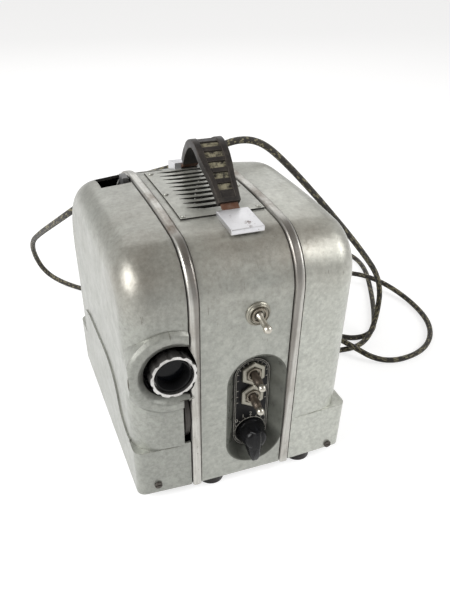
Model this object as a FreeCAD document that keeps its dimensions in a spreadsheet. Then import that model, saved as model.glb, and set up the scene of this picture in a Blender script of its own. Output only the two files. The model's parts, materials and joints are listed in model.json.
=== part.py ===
import FreeCAD, Part

import math
import os
import re

import Sketcher

# Frame: origin at the middle of the footprint on the table, +X right, +Y back, +Z up, millimetres.
# All is built about X=0 at the middle of the centre casing and moved to that origin when it is written.

Vec = FreeCAD.Vector
Turn = FreeCAD.Rotation
doc = FreeCAD.newDocument("movie_projector")

# Driving dimensions
SIZES = [
    ("body_depth", 225, "front face to rear face of the casing"),
    ("front_y", -105, "front face of the casing"),
    ("foot_height", 9, "rubber foot, table to casing bottom"),
    ("front_height", 202.5, "casing height where the top starts at the front"),
    ("crown_height", 209.5, "casing height over the level rear part"),
    ("crown_depth", 108, "depth at which the top becomes level"),
    ("front_round", 40, "front top corner radius"),
    ("rear_round", 80, "rear top corner radius"),
    ("mid_width", 70.8, "centre casing width"),
    ("band_width", 7.4, "trim band width"),
    ("band_gap", 0.6, "groove between the centre casing and a trim band"),
    ("band_proud", 2.2, "trim band stands out by this"),
    ("band_inset", 3, "trim band reaches in by this"),
    ("shell_wall", 1.6, "centre casing sheet"),
    ("plate_wall", 2.5, "chassis plate and base plate"),
    ("cover_wall", 2, "cover wall"),
    ("cover_gap", 0.9, "groove between a trim band and a cover"),
    ("film_upper", 88, "outer face of the film cover above its base"),
    ("film_base", 89.5, "outer face of the film cover at its base"),
    ("motor_upper", 92.8, "outer face of the motor cover above its base"),
    ("motor_base", 97.2, "outer face of the motor cover at its base"),
    ("arch_proud", 1.5, "raised area on the side of a cover"),
    ("base_height", 46, "height of the square-cornered cover base"),
    ("base_draft", 2.2, "front of the base falls back by this at its outer face"),
    ("base_round", 7, "cover base corner radius"),
    ("cover_round", 22, "cover perimeter radius"),
    ("cover_draft", 4, "cover draft in degrees"),
    ("foot_radius", 11, "rubber foot"),
    ("foot_front", 13, "front feet behind the front face"),
    ("foot_left_x", -23, "left feet"),
    ("foot_right_x", 60, "right feet"),
    ("lens_x", -56.9, "lens axis"),
    ("lens_z", 118.8, "lens axis above the casing bottom"),
    ("lens_hole", 21.3, "lens opening of the film cover"),
    ("collar_radius", 35.3, "collar round the lens opening"),
    ("collar_proud", 3, "collar stands out of the cover by this"),
    ("dish_radius", 27, "dished lip of the collar"),
    ("ring_radius", 17.5, "focus ring"),
    ("ring_bore", 15, "focus ring bore"),
    ("barrel_radius", 13.9, "lens barrel"),
    ("neck_radius", 12.6, "neck of the lens barrel that the focus ring turns on"),
    ("barrel_bore", 10.6, "bore that holds the lens glass"),
    ("fit", 0.1, "radial clearance of a running fit"),
    ("wheel_radius", 31, "hand wheel"),
    ("wheel_width", 4.2, "hand wheel width"),
    ("wheel_x", -48.3, "hand wheel left face"),
    ("shaft_y", 30, "main shaft behind the front face"),
    ("shaft_z", 71, "main shaft above the casing bottom"),
    ("shaft_radius", 3, "main, shutter and sprocket shafts"),
    ("sprocket_y", 67.4, "sprocket shaft behind the front face"),
    ("sprocket_z", 83.3, "sprocket shaft above the casing bottom"),
    ("shutter_y", 122, "shutter shaft behind the front face"),
    ("shutter_z", 92, "shutter shaft above the casing bottom"),
    ("shutter_radius", 46, "shutter disc"),
    ("belt_radius", 14, "shutter belt pulleys"),
    ("drive_radius", 20, "driven pulley of the motor belt"),
    ("motor_y", "=body_depth - 75", "motor axis behind the front face"),
    ("motor_z", 55, "motor axis above the casing bottom"),
    ("motor_radius", 31, "motor can"),
    ("motor_pulley_radius", 8, "motor pulley"),
    ("rotor_radius", 3, "rotor shaft"),
    ("beam_y", 95, "lamp beam behind the front face"),
    ("beam_radius", 7.5, "hole for the lamp beam"),
    ("arm_y", "=body_depth - 60", "supply arm behind the front face"),
    ("arm_top", 182, "reel spindle of the folded supply arm above the casing bottom"),
    ("arm_length", 116, "supply arm, lower end to reel spindle"),
    ("arm_width", 12, "supply arm bar"),
    ("arm_lift", 80, "supply arm pulls up by this"),
    ("tongue_width", 8, "tongue that guides the supply arm"),
    ("tongue_length", 38, "tongue that guides the supply arm"),
    ("slot_outer", -68.8, "outer side of the reel arm slot"),
    ("slot_front", "=body_depth - 88", "front end of the reel arm slot"),
    ("slot_rear", "=body_depth - 52", "rear end of the reel arm slot"),
    ("takeup_y", "=body_depth - 77", "take-up spindle behind the front face"),
    ("takeup_z", 75, "take-up spindle above the casing bottom"),
    ("spindle_radius", 4, "spindle that a reel sits on"),
    ("pin_radius", 3, "pin of the reel spindle in the supply arm"),
    ("well_x", 10.9, "middle of the control recess"),
    ("well_radius", 23.9, "rounded end of the control recess"),
    ("well_low", 35.4, "lower centre of the recess"),
    ("well_high", 94, "upper centre of the recess"),
    ("well_depth", 10.7, "depth of the recess"),
    ("well_shrink", 8.05, "recess wall slopes in by this"),
    ("well_wall", 1.2, "sheet of the recess"),
    ("plate_thick", 0.8, "control plate"),
    ("knob_z", 36.5, "speed knob axis above the casing bottom"),
    ("knob_radius", 12.5, "speed knob skirt"),
    ("knob_tip", 23, "pointer tip from the knob axis"),
    ("knob_stem", 3, "shaft of the speed knob"),
    ("switch_neck", 5.9, "threaded neck of a switch"),
    ("lever_ball", 3.4, "ball that a switch lever turns on"),
    ("nut_height", 3.2, "switch nut"),
    ("nut_corner", 11, "hexagonal switch nut, middle to corner"),
    ("round_nut", 9.4, "round nut of the upper switch"),
    ("upper_x", 8, "upper switch"),
    ("upper_z", 155.5, "upper switch above the casing bottom"),
    ("middle_z", 96.1, "middle switch above the casing bottom"),
    ("lower_z", 74.2, "lower switch above the casing bottom"),
    ("vent_left", -30, "vent panel left edge"),
    ("vent_right", 34.6, "vent panel right edge"),
    ("vent_front", 54.9, "vent panel front edge"),
    ("vent_rear", "=body_depth - 73", "vent panel rear edge"),
    ("vent_thick", 1.2, "vent panel sheet"),
    ("slot_pitch", 8.5, "louvre pitch"),
    ("slot_gap", 4.6, "louvre opening"),
    ("slot_length", 37, "louvre length"),
    ("slit_y", 160, "slit behind the vent panel"),
    ("slit_width", 5, "slit behind the vent panel"),
    ("slit_length", 22, "slit behind the vent panel"),
    ("handle_x", 8.5, "middle of the handle"),
    ("strap_width", 24.6, "rubber handle strap at its middle"),
    ("strap_end", 16.6, "rubber handle strap at its ends"),
    ("strap_thick", 5.2, "rubber handle strap"),
    ("strip_width", 13.5, "steel strip in the handle"),
    ("strip_thick", 1.2, "steel strip in the handle"),
    ("cap_width", 25, "handle cap"),
    ("cap_thick", 3.9, "handle cap"),
    ("screw_radius", 1.5, "stem of a cover screw"),
    ("film_screw_in", 16.6, "film cover screw in from the cover's outer face"),
    ("film_screw_z", 9, "film cover screw above the casing bottom"),
    ("motor_screw_in", 13.4, "motor cover screw in from the cover's outer face"),
    ("motor_screw_z", 4, "motor cover screw above the casing bottom"),
    ("cord_size", 6, "mains cord"),
    ("gland_x", 20, "cord gland"),
    ("gland_z", 24, "cord gland above the casing bottom"),
    ("gland_neck", 6.8, "neck of the cord gland"),
    ("boot_length", 26, "tapered strain relief"),
]

sheet = doc.addObject("Spreadsheet::Sheet", "Sizes")
for row, (alias, value, meaning) in enumerate(SIZES, 1):
    sheet.setAlias("A%d" % row, alias)
    sheet.set("A%d" % row, str(value))
    sheet.set("B%d" % row, meaning)
doc.recompute()
NAMES = {alias for alias, value, meaning in SIZES}


def linked(text):
    """The same formula, with each named size read from the sheet."""
    return re.sub(r"[a-z][a-z_]*", lambda word: "Sizes." + word[0] if word[0] in NAMES else word[0], str(text))


def num(text):
    """The present value of a formula."""
    return float(sheet.evalExpression(linked(text)))


def bind(thing, **formulas):
    for prop, text in formulas.items():
        thing.setExpression(prop.replace("__", "."), linked(text))


def bind_place(thing, x, y, z):
    bind(thing, Placement__Base__x=x, Placement__Base__y=y, Placement__Base__z=z)


def back(text):
    """Y of a place measured backwards from the front face."""
    return "front_y + (%s)" % text


def up(text):
    """Z of a place measured up from the casing bottom."""
    return "foot_height + (%s)" % text


# Primitives and booleans
AXES = {"x": Turn(Vec(0, 1, 0), 90), "y": Turn(Vec(1, 0, 0), -90), "z": Turn()}


def box(name, x, y, z, dx, dy, dz):
    thing = doc.addObject("Part::Box", name)
    bind(thing, Length=dx, Width=dy, Height=dz)
    bind_place(thing, x, y, z)
    return thing


def rod(name, axis, x, y, z, radius, length):
    thing = doc.addObject("Part::Cylinder", name)
    thing.Placement.Rotation = AXES[axis]
    bind(thing, Radius=radius, Height=length)
    bind_place(thing, x, y, z)
    return thing


def cone(name, axis, x, y, z, radius_start, radius_end, length):
    thing = doc.addObject("Part::Cone", name)
    thing.Placement.Rotation = AXES[axis]
    bind(thing, Radius1=radius_start, Radius2=radius_end, Height=length)
    bind_place(thing, x, y, z)
    return thing


def ball(name, x, y, z, radius):
    thing = doc.addObject("Part::Sphere", name)
    bind(thing, Radius=radius)
    bind_place(thing, x, y, z)
    return thing


def fuse(name, things):
    if len(things) == 1:
        return things[0]
    whole = doc.addObject("Part::MultiFuse", name)
    whole.Shapes = things
    return whole


def cut(name, base, tools):
    whole = doc.addObject("Part::Cut", name)
    whole.Base = base
    whole.Tool = fuse(name + "_tools", tools)
    return whole


def common(name, first, second):
    whole = doc.addObject("Part::MultiCommon", name)
    whole.Shapes = [first, second]
    return whole


# Sketched bodies
PLANES = {"yz": "YZ_Plane", "xy": "XY_Plane", "xz": "XZ_Plane"}


def sketch_on(body, plane, offset):
    """A sketch on one of the body's own planes, moved along its normal."""
    sketch = body.newObject("Sketcher::SketchObject", body.Name + "_sketch")
    support = [item for item in body.Origin.OriginFeatures if item.Role == PLANES[plane]][0]
    sketch.AttachmentSupport = [(support, "")]
    sketch.MapMode = "FlatFace"
    bind(sketch, AttachmentOffset__Base__z=offset)
    return sketch


def outline(sketch, points, bow=None):
    """A closed polygon whose corners are bound to formulas. Side number bow is an arc that ends level."""
    corners = [Vec(num(u), num(w), 0) for u, w in points]
    count = len(corners)
    for index in range(count):
        start, end = corners[index], corners[(index + 1) % count]
        if index == bow:
            rise = end.y - start.y
            radius = ((end.x - start.x) ** 2 + rise ** 2) / (2 * rise)
            middle = Vec(end.x, end.y - radius, 0)
            start_angle = math.atan2(start.y - middle.y, start.x - middle.x)
            circle = Part.Circle(middle, Vec(0, 0, 1), radius)
            sketch.addGeometry(Part.ArcOfCircle(circle, math.pi / 2, start_angle))
        else:
            sketch.addGeometry(Part.LineSegment(start, end))
    for index in range(count):
        following = (index + 1) % count
        last_end = 1 if index == bow else 2
        next_start = 2 if following == bow else 1
        sketch.addConstraint(Sketcher.Constraint("Coincident", index, last_end, following, next_start))
    for index, (u, w) in enumerate(points):
        end = 2 if index == bow else 1
        for kind, text, value in (("DistanceX", u, corners[index].x), ("DistanceY", w, corners[index].y)):
            number = sketch.addConstraint(Sketcher.Constraint(kind, -1, 1, index, end, value))
            sketch.setExpression("Constraints[%d]" % number, linked(text))


def pad_of(body, sketch, length, reverse=False, draft=None):
    pad = body.newObject("PartDesign::Pad", body.Name + "_pad")
    pad.Profile = sketch
    bind(pad, Length=length)
    pad.Reversed = reverse
    if draft:
        bind(pad, TaperAngle=draft)
    doc.recompute()
    return pad


def prism(name, plane, offset, points, length, reverse=False, draft=None, bow=None):
    body = doc.addObject("PartDesign::Body", name)
    sketch = sketch_on(body, plane, offset)
    outline(sketch, points, bow)
    pad_of(body, sketch, length, reverse, draft)
    return body


def rounded(body, wanted, radius):
    """Rounds the edges of the body's tip for which wanted(edge) is true."""
    tip = body.Tip
    names = ["Edge%d" % (i + 1) for i, edge in enumerate(tip.Shape.Edges) if wanted(edge)]
    fillet = body.newObject("PartDesign::Fillet", body.Name + "_round")
    fillet.Base = (tip, names)
    bind(fillet, Radius=radius)
    doc.recompute()
    return body


def near_corner(u, w, reach):
    """True for an edge along X whose ends both lie close to Y=u, Z=w."""
    def wanted(edge):
        ends = [v.Point for v in edge.Vertexes]
        return len(ends) == 2 and all(math.hypot(p.y - u, p.z - w) < reach for p in ends)
    return wanted


def on_side(x, low):
    """True for an edge of the face at X=x, other than its bottom edge."""
    def wanted(edge):
        box_of = edge.BoundBox
        return abs(box_of.XMin - x) < 0.01 and abs(box_of.XMax - x) < 0.01 and box_of.ZMax > low
    return wanted


def profile_block(name, x_from, x_to, grow, bottom, draft=None):
    """A slab with the casing's side profile, from X=x_from to X=x_to, grown outwards by grow."""
    front = "front_y - (%s)" % grow
    rear = "front_y + body_depth + (%s)" % grow
    points = [
        (front, bottom),
        (front, up("front_height + (%s)" % grow)),
        (back("crown_depth"), up("crown_height + (%s)" % grow)),
        (rear, up("crown_height + (%s)" % grow)),
        (rear, bottom),
    ]
    reverse = num(x_to) < num(x_from)
    length = "(%s) - (%s)" % ((x_from, x_to) if reverse else (x_to, x_from))
    body = prism(name, "yz", x_from, points, length, reverse, draft, 1)
    reach = 5
    for (u, w), radius in (
        (points[1], "front_round + (%s)" % grow),
        (points[3], "rear_round + (%s)" % grow),
    ):
        rounded(body, near_corner(num(u), num(w), reach), radius)
    return body


# Casing
MID = "mid_width / 2"
INNER = "mid_width / 2 + band_gap"
BAND = "mid_width / 2 + band_gap + band_width"
COVER = "mid_width / 2 + band_gap + band_width + cover_gap"


def well_block(name, grow, start, depth):
    """The tapered stadium of the control recess."""
    body = doc.addObject("PartDesign::Body", name)
    sketch = sketch_on(body, "xz", "-(%s)" % back(start))
    slope = num("well_shrink") / num("well_depth")
    radius = num("well_radius") + num(grow) - slope * num(start)
    x, low, high = num("well_x"), num(up("well_low")), num(up("well_high"))
    sketch.addGeometry(Part.LineSegment(Vec(x - radius, high, 0), Vec(x - radius, low, 0)))
    sketch.addGeometry(Part.ArcOfCircle(Part.Circle(Vec(x, low, 0), Vec(0, 0, 1), radius), math.pi, 2 * math.pi))
    sketch.addGeometry(Part.LineSegment(Vec(x + radius, low, 0), Vec(x + radius, high, 0)))
    sketch.addGeometry(Part.ArcOfCircle(Part.Circle(Vec(x, high, 0), Vec(0, 0, 1), radius), 0, math.pi))
    pad_of(body, sketch, depth, True, "-atan(well_shrink / well_depth)")
    return body


def center_casing():
    outer = profile_block("casing_outer", "-" + MID, MID, "0", "foot_height")
    inner = profile_block("casing_inner", "-%s - 1" % MID, "%s + 1" % MID, "-shell_wall", "foot_height - 5")
    recess = well_block("casing_recess", "well_wall", "-2", "well_depth + 6")
    window = box("vent_window", "vent_left + 5", back("vent_front + 9"), up("crown_height - 20"),
                 "vent_right - vent_left - 10", "vent_rear - vent_front - 14", "30")
    switch_hole = rod("upper_switch_hole", "y", "upper_x", back("-2"), up("upper_z"), "switch_neck + 0.2", "6")
    gland_hole = rod("gland_hole", "y", "gland_x", back("body_depth - 4"), up("gland_z"), "gland_neck + 0.2", "8")
    slit = box("rear_slit", "-11 - slit_length", back("slit_y"), up("crown_height - 20"),
               "slit_length", "slit_width", "30")
    return cut("center_casing", outer, [inner, recess, window, switch_hole, gland_hole, slit])


def trim_band(name, x_from, x_to):
    outer = profile_block(name + "_outer", x_from, x_to, "band_proud", "foot_height")
    for x in (num(x_from), num(x_to)):
        rounded(outer, on_side(x, num("foot_height") + 0.5), "band_proud - 0.1")
    inner = profile_block(name + "_inner", "(%s) - 1" % x_from, "(%s) + 1" % x_to, "-band_inset", "foot_height - 5")
    return outer, inner


def left_trim_band():
    outer, inner = trim_band("left_band", "-(%s)" % BAND, "-(%s)" % INNER)
    bite = rod("lens_bite", "y", "-75", back("-5"), up("lens_z"), "36", "20")
    return cut("left_trim_band", outer, [inner, bite])


def right_trim_band():
    outer, inner = trim_band("right_band", INNER, BAND)
    return cut("right_trim_band", outer, [inner])


def base_plate():
    middle = box("base_middle", "-" + MID, back("shell_wall"), "foot_height",
                 "mid_width", "body_depth - 2 * shell_wall", "plate_wall")
    wide = box("base_wide", "-(%s)" % BAND, back("band_inset"), "foot_height",
               "2 * (%s)" % BAND, "body_depth - 2 * band_inset", "plate_wall")
    return fuse("base_plate", [middle, wide])


CHASSIS = "-41"


def chassis_plate():
    plate = profile_block("chassis_block", CHASSIS, CHASSIS + " + plate_wall", "-band_inset",
                          "foot_height + plate_wall")
    start = CHASSIS + " - 1"
    deep = "plate_wall + 2"
    holes = []
    for name, y, z, radius in (
        ("main_bearing", "shaft_y", "shaft_z", "shaft_radius + fit"),
        ("sprocket_bearing", "sprocket_y", "sprocket_z", "shaft_radius + fit"),
        ("shutter_bearing", "shutter_y", "shutter_z", "shaft_radius + fit"),
        ("beam_hole", "beam_y", "lens_z", "beam_radius"),
        ("takeup_bearing", "takeup_y", "takeup_z", "spindle_radius + fit"),
    ):
        holes.append(rod(name, "x", start, back(y), up(z), radius, deep))
    holes.append(rod("lens_room", "y", "-75", back("-5"), up("lens_z"), "36.5", "20"))
    holes.append(box("arm_guide", start, back("arm_y - tongue_width / 2 - fit"), up("arm_top - arm_length + 2 - fit"),
                     deep, "tongue_width + 2 * fit", "tongue_length + arm_lift + 2 * fit"))
    return cut("chassis_plate", plate, holes)


SIDES = {"-": ("film_upper", "film_base"), "": ("motor_upper", "motor_base")}


def cover_base(name, side, grow, height):
    """The square-cornered lower block of a cover, shrunk by -grow."""
    inner = "%s(%s)" % (side, COVER if grow == "0" else COVER + " - 1")
    outer = "%s(%s + (%s))" % (side, SIDES[side][1], grow)
    front = back("-(%s)" % grow)
    rear = back("body_depth + (%s)" % grow)
    points = [(inner, front), (outer, front + " + base_draft"), (outer, rear + " - base_draft"), (inner, rear)]
    body = prism(name, "xy", "foot_height" if grow == "0" else "foot_height + cover_wall", points, height)
    x = num(outer)

    def upright(edge):
        ends = [v.Point for v in edge.Vertexes]
        return len(ends) == 2 and all(abs(p.x - x) < 0.01 for p in ends) and abs(ends[0].z - ends[1].z) > 5
    return rounded(body, upright, "base_round" if grow == "0" else "base_round - cover_wall")


def cover_upper(name, side, grow):
    """The tapered upper block of a cover, shrunk by -grow."""
    start = "%s(%s)" % (side, COVER if grow == "0" else COVER + " - 1")
    end = "%s(%s + (%s))" % (side, SIDES[side][0], grow)
    body = profile_block(name, start, end, grow, "foot_height + 4 - (%s)" % grow, "-cover_draft")
    return rounded(body, on_side(num(end), num("foot_height + base_height / 2")), "cover_round + (%s)" % grow)


# Upper edge of the raised area on a cover's side, depth and height from the front bottom corner
ARCH = [(20, 48), (37, 48), (48, 54), (58, 71), (68, 81), (90, 87), (116, 86), (150, 85), (175, 80), (191, 70)]


def cover_arch(name, side):
    body = doc.addObject("PartDesign::Body", name)
    sketch = sketch_on(body, "yz", "%s(%s + arch_proud)" % (side, SIDES[side][0]))
    crest = [Vec(num(back(y)), num(up(z)), 0) for y, z in ARCH]
    floor = num(up("base_height - 5"))
    low = [Vec(crest[0].x, floor, 0), Vec(crest[-1].x, floor, 0)]
    curve = Part.BSplineCurve()
    curve.interpolate(crest)
    sketch.addGeometry(curve)
    sketch.addGeometry(Part.LineSegment(crest[-1], low[1]))
    sketch.addGeometry(Part.LineSegment(low[1], low[0]))
    sketch.addGeometry(Part.LineSegment(low[0], crest[0]))
    pad_of(body, sketch, "arch_proud + 0.5", side != "-")
    return body


def cover_blocks(name, side):
    outer = [
        cover_upper(name + "_upper", side, "0"),
        cover_base(name + "_base", side, "0", "base_height"),
        cover_arch(name + "_arch", side),
    ]
    inner = [
        cover_upper(name + "_upper_room", side, "-cover_wall"),
        cover_base(name + "_base_room", side, "-cover_wall", "base_height - 2 * cover_wall"),
    ]
    return outer, inner


FILM_SCREW_X = "film_screw_in - film_base"
MOTOR_SCREW_X = "motor_base - motor_screw_in"


def film_cover():
    outer, inner = cover_blocks("film_side", "-")
    front = back("-collar_proud")
    collar = fuse("lens_collar", [
        cone("collar_slope", "y", "lens_x", front, up("lens_z"), "collar_radius - 3", "collar_radius", "collar_proud"),
        rod("collar_root", "y", "lens_x", back("0"), up("lens_z"), "collar_radius", "13"),
    ])
    open_side = box("collar_limit", "-film_base", back("-5"), up("lens_z - 40"),
                    "film_base - (%s)" % COVER, "30", "80")
    outer.append(common("collar", collar, open_side))
    hole = rod("lens_hole", "y", "lens_x", back("-5"), up("lens_z"), "lens_hole", "30")
    mouth = box("lens_mouth", "lens_x", back("-5"), up("lens_z - lens_hole"), "20", "30", "2 * lens_hole")
    dish = cone("lens_dish", "y", "lens_x", back("-collar_proud - 0.1"), up("lens_z"), "dish_radius", "lens_hole", "5")
    wheel = box("wheel_notch", "wheel_x - 1", back("-5"), up("48"), "20", "25", "46")
    slot = box("arm_slot", "slot_outer", back("slot_front"), up("150"),
               "-slot_outer - 30", "slot_rear - slot_front", "80")
    screw = rod("film_screw_hole", "y", FILM_SCREW_X, back("-1"), up("film_screw_z"), "screw_radius + fit", "9")
    return cut("film_cover", fuse("film_side_solid", outer), inner + [screw, hole, mouth, dish, wheel, slot])


def motor_cover():
    outer, inner = cover_blocks("motor_side", "")
    screw = rod("motor_screw_hole", "y", MOTOR_SCREW_X, back("-1"), up("motor_screw_z"), "screw_radius + fit", "12")
    return cut("motor_cover", fuse("motor_side_solid", outer), inner + [screw])


def foot(name, x, y):
    pad = rod(name + "_pad", "z", x, y, "0", "foot_radius", "foot_height")
    well = rod(name + "_well", "z", x, y, "-1", "5", "5")
    return cut(name, pad, [well])


def feet():
    front = back("foot_front")
    rear = back("body_depth - foot_front")
    return [
        foot("foot_front_left", "foot_left_x", front),
        foot("foot_front_right", "foot_right_x", front),
        foot("foot_rear_left", "foot_left_x", rear),
        foot("foot_rear_right", "foot_right_x", rear),
    ]


def screw_seat(outer, inset):
    """Where a screw's head starts on the sloping front of a cover base, inset from its outer face."""
    return back("base_draft * (%s - %s - (%s)) / (%s - (%s)) - 1.93" % (outer, inset, COVER, outer, COVER))


def slotted_screw(name, x, y, z):
    """A round-headed screw in the front of a cover, its slot level."""
    head = rod(name + "_head", "y", x, y, z, "3.2", "1.6")
    stem = rod(name + "_stem", "y", x, y + " + 1", z, "screw_radius", "7")
    slot = box(name + "_slot", x + " - 4", y + " - 1", z + " - 0.5", "8", "1.7", "1")
    return cut(name, fuse(name + "_solid", [head, stem]), [slot])


def top_skin(name, low, high, x, y, dx, dy):
    """A piece of sheet that follows the casing's top, low to high above it."""
    outer = profile_block(name + "_outer", x, "(%s) + (%s)" % (x, dx), high, up("100"))
    inner = profile_block(name + "_inner", "(%s) - 1" % x, "(%s) + (%s) + 1" % (x, dx), low, up("90"))
    shell = cut(name + "_shell", outer, [inner])
    limit = box(name + "_limit", x, y, up("120"), dx, dy, "120")
    return common(name + "_skin", shell, limit)


LOUVRES = 10


def louvre(number):
    """One louvre opening; its left end tapers to a point."""
    front = back("vent_front + 11.5 + %d * slot_pitch" % number)
    rear = front + " + slot_gap"
    tip, end = "-20.5", "-20.5 + slot_length"
    corners = [(tip, rear + " - 0.5"), (tip + " + 6", rear + " - 0.62 * slot_gap"), (tip + " + 12", front),
               (end, front), (end, rear), (tip, rear)]
    return prism("louvre_%d" % number, "xy", up("190"), corners, "40")


def vent_panel():
    sheet_piece = top_skin("vent", "0", "vent_thick", "vent_left", back("vent_front"),
                           "vent_right - vent_left", "vent_rear - vent_front")
    return cut("vent_panel", sheet_piece, [louvre(number) for number in range(LOUVRES)])


VENT_SCREWS = [(-26, 146), (-27.5, 99), (-27, 58.5), (31, 58.5), (31, 99), (31, 146)]


def top_height(depth):
    """Height of the casing's top above its bottom, at a depth behind the front face."""
    rise = num("crown_height - front_height")
    reach = num("crown_depth")
    if depth < reach:
        radius = (reach ** 2 + rise ** 2) / (2 * rise)
        return num("crown_height") - (reach - depth) ** 2 / (2 * radius)
    radius = num("rear_round")
    past = max(0, depth - (num("body_depth") - radius))
    return num("crown_height") - radius + math.sqrt(radius ** 2 - past ** 2)


def vent_screws():
    heads = []
    for number, (x, depth) in enumerate(VENT_SCREWS):
        z = "%.3f + vent_thick + 0.15" % top_height(depth)
        heads.append(cone("vent_screw_%d" % number, "z", str(x), back(str(depth)), up(z), "2.2", "1.7", "0.8"))
    return fuse("vent_screws", heads)


# Controls
def control_well():
    outer = well_block("well_outer", "well_wall", "0", "well_depth + well_wall")
    inner = well_block("well_inner", "0", "-2", "well_depth + 2")
    holes = [
        rod("middle_hole", "y", "well_x", back("5"), up("middle_z"), "switch_neck + 0.2", "12"),
        rod("lower_hole", "y", "well_x", back("5"), up("lower_z"), "switch_neck + 0.2", "12"),
        rod("knob_hole", "y", "well_x", back("5"), up("knob_z"), "knob_stem + 0.3", "12"),
    ]
    return cut("control_well", outer, [inner] + holes)


def control_plate():
    grow = "-well_shrink - 0.3"
    reach = "well_radius + (%s)" % grow
    y = back("well_depth - plate_thick")
    low = rod("plate_low", "y", "well_x", y, up("well_low"), reach, "plate_thick")
    high = rod("plate_high", "y", "well_x", y, up("well_high"), reach, "plate_thick")
    middle = box("plate_middle", "well_x - (%s)" % reach, y, up("well_low"),
                 "2 * (%s)" % reach, "plate_thick", "well_high - well_low")
    holes = [
        rod("plate_middle_hole", "y", "well_x", back("5"), up("middle_z"), "switch_neck + 0.2", "12"),
        rod("plate_lower_hole", "y", "well_x", back("5"), up("lower_z"), "switch_neck + 0.2", "12"),
        rod("plate_knob_hole", "y", "well_x", back("5"), up("knob_z"), "knob_stem + 0.3", "12"),
    ]
    return cut("control_plate", fuse("plate_solid", [low, high, middle]), holes)


def switch(name, x, z, panel, wall, hexed, tilt, reach, bulge):
    """A toggle switch: body behind the panel, nut in front, lever pointing forwards and down."""
    case = box(name + "_case", x + " - 9", back(panel + " + " + wall), z + " - 10", "18", "20", "20")
    neck = rod(name + "_neck", "y", x, back(panel + " - nut_height - 0.8"), z, "switch_neck",
               "nut_height + 1.8 + " + wall)
    bore = rod(name + "_bore", "y", x, back(panel + " - 6"), z, "lever_ball + 1", "12 + " + wall)
    body = cut(name + "_body", fuse(name + "_body_solid", [case, neck]), [bore])
    if hexed:
        blank = doc.addObject("Part::Prism", name + "_blank")
        blank.Polygon = 6
        blank.Placement.Rotation = AXES["y"]
        bind(blank, Circumradius="nut_corner", Height="nut_height")
        bind_place(blank, x, back(panel + " - nut_height"), z)
    else:
        blank = rod(name + "_blank", "y", x, back(panel + " - nut_height"), z, "round_nut", "nut_height")
    hole = rod(name + "_nut_hole", "y", x, back(panel + " - nut_height - 1.8"), z, "switch_neck + 0.05", "nut_height + 4.8")
    nut = cut(name + "_nut", blank, [hole])
    root = ball(name + "_root", "0", "0", "0", "lever_ball")
    swell = cone(name + "_swell", "z", "0", "0", "0", "2.1", bulge, "9")
    stalk = cone(name + "_stalk", "z", "0", "0", "9", bulge, "2.6", reach + " - 9")
    tip = ball(name + "_tip", "0", "0", reach, "3.2")
    lever = fuse(name + "_lever", [root, swell, stalk, tip])
    lever.Placement.Rotation = Turn(Vec(1, 0, 0), 90 + tilt)
    bind_place(lever, x, back(panel), z)
    return [body, nut, lever]


# Half the pointer bar seen from the front: distance from the middle line and from the knob's axis upwards
KNOB_BAR = [("8.6", "0"), ("7.8", "-8"), ("5.6", "1.5 - knob_tip"), ("4.2", "-knob_tip")]


def speed_knob():
    skirt = cone("knob_skirt", "y", "well_x", back("6.4"), up("knob_z"), "knob_radius - 1.5", "knob_radius", "2.6")
    hub = cone("knob_hub", "y", "well_x", back("-6"), up("knob_z"), "8.2", "11.4", "12.6")
    stem = rod("knob_stem", "y", "well_x", back("6"), up("knob_z"), "knob_stem", "14")
    side = prism("knob_bar_side", "yz", "well_x - 10", [
        (back("-9"), up("knob_z + 6")),
        (back("-9"), up("knob_z + 2 - knob_tip")),
        (back("-6"), up("knob_z - knob_tip")),
        (back("3"), up("knob_z + 2.5 - knob_tip")),
        (back("6.4"), up("knob_z + 12 - knob_tip")),
        (back("6.4"), up("knob_z + 10")),
        (back("-6"), up("knob_z + 9")),
    ], "20")
    right = [("well_x + " + x, up("knob_z + " + z)) for x, z in KNOB_BAR]
    left = [("well_x - " + x, up("knob_z + " + z)) for x, z in reversed(KNOB_BAR)]
    top = [("well_x - 5", up("knob_z + 9.5")), ("well_x + 5", up("knob_z + 9.5"))]
    front = prism("knob_bar_front", "xz", "-(%s)" % back("-9.5"), right + left + top, "17", True)
    return fuse("speed_knob", [skirt, hub, stem, common("knob_bar", side, front)])


def rheostat():
    can = rod("rheostat_can", "y", "well_x", back("well_depth + well_wall"), up("knob_z"), "17", "15")
    bore = rod("rheostat_bore", "y", "well_x", back("5"), up("knob_z"), "knob_stem + fit", "16")
    return cut("rheostat", can, [bore])


# Lens and light path
def lens_mount():
    block = box("mount_block", "-72", back("22"), up("104"), "72 + (%s)" % CHASSIS, "28", "33")
    bore = rod("mount_bore", "y", "lens_x", back("20"), up("lens_z"), "barrel_radius + fit", "32")
    return cut("lens_mount", block, [bore])


def lens_barrel():
    rear = rod("barrel_rear", "y", "lens_x", back("5.3"), up("lens_z"), "barrel_radius", "44.7")
    neck = rod("barrel_neck", "y", "lens_x", back("1"), up("lens_z"), "neck_radius", "5")
    lip = rod("barrel_lip", "y", "lens_x", back("-3"), up("lens_z"), "13.6", "4.7")
    bore = rod("barrel_bore_cut", "y", "lens_x", back("-4"), up("lens_z"), "barrel_bore", "60")
    flare = cone("barrel_flare", "y", "lens_x", back("-3.1"), up("lens_z"), "12.4", "barrel_bore", "7")
    return cut("lens_barrel", fuse("barrel_solid", [rear, neck, lip]), [bore, flare])


RING_LOBES = 11


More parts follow.
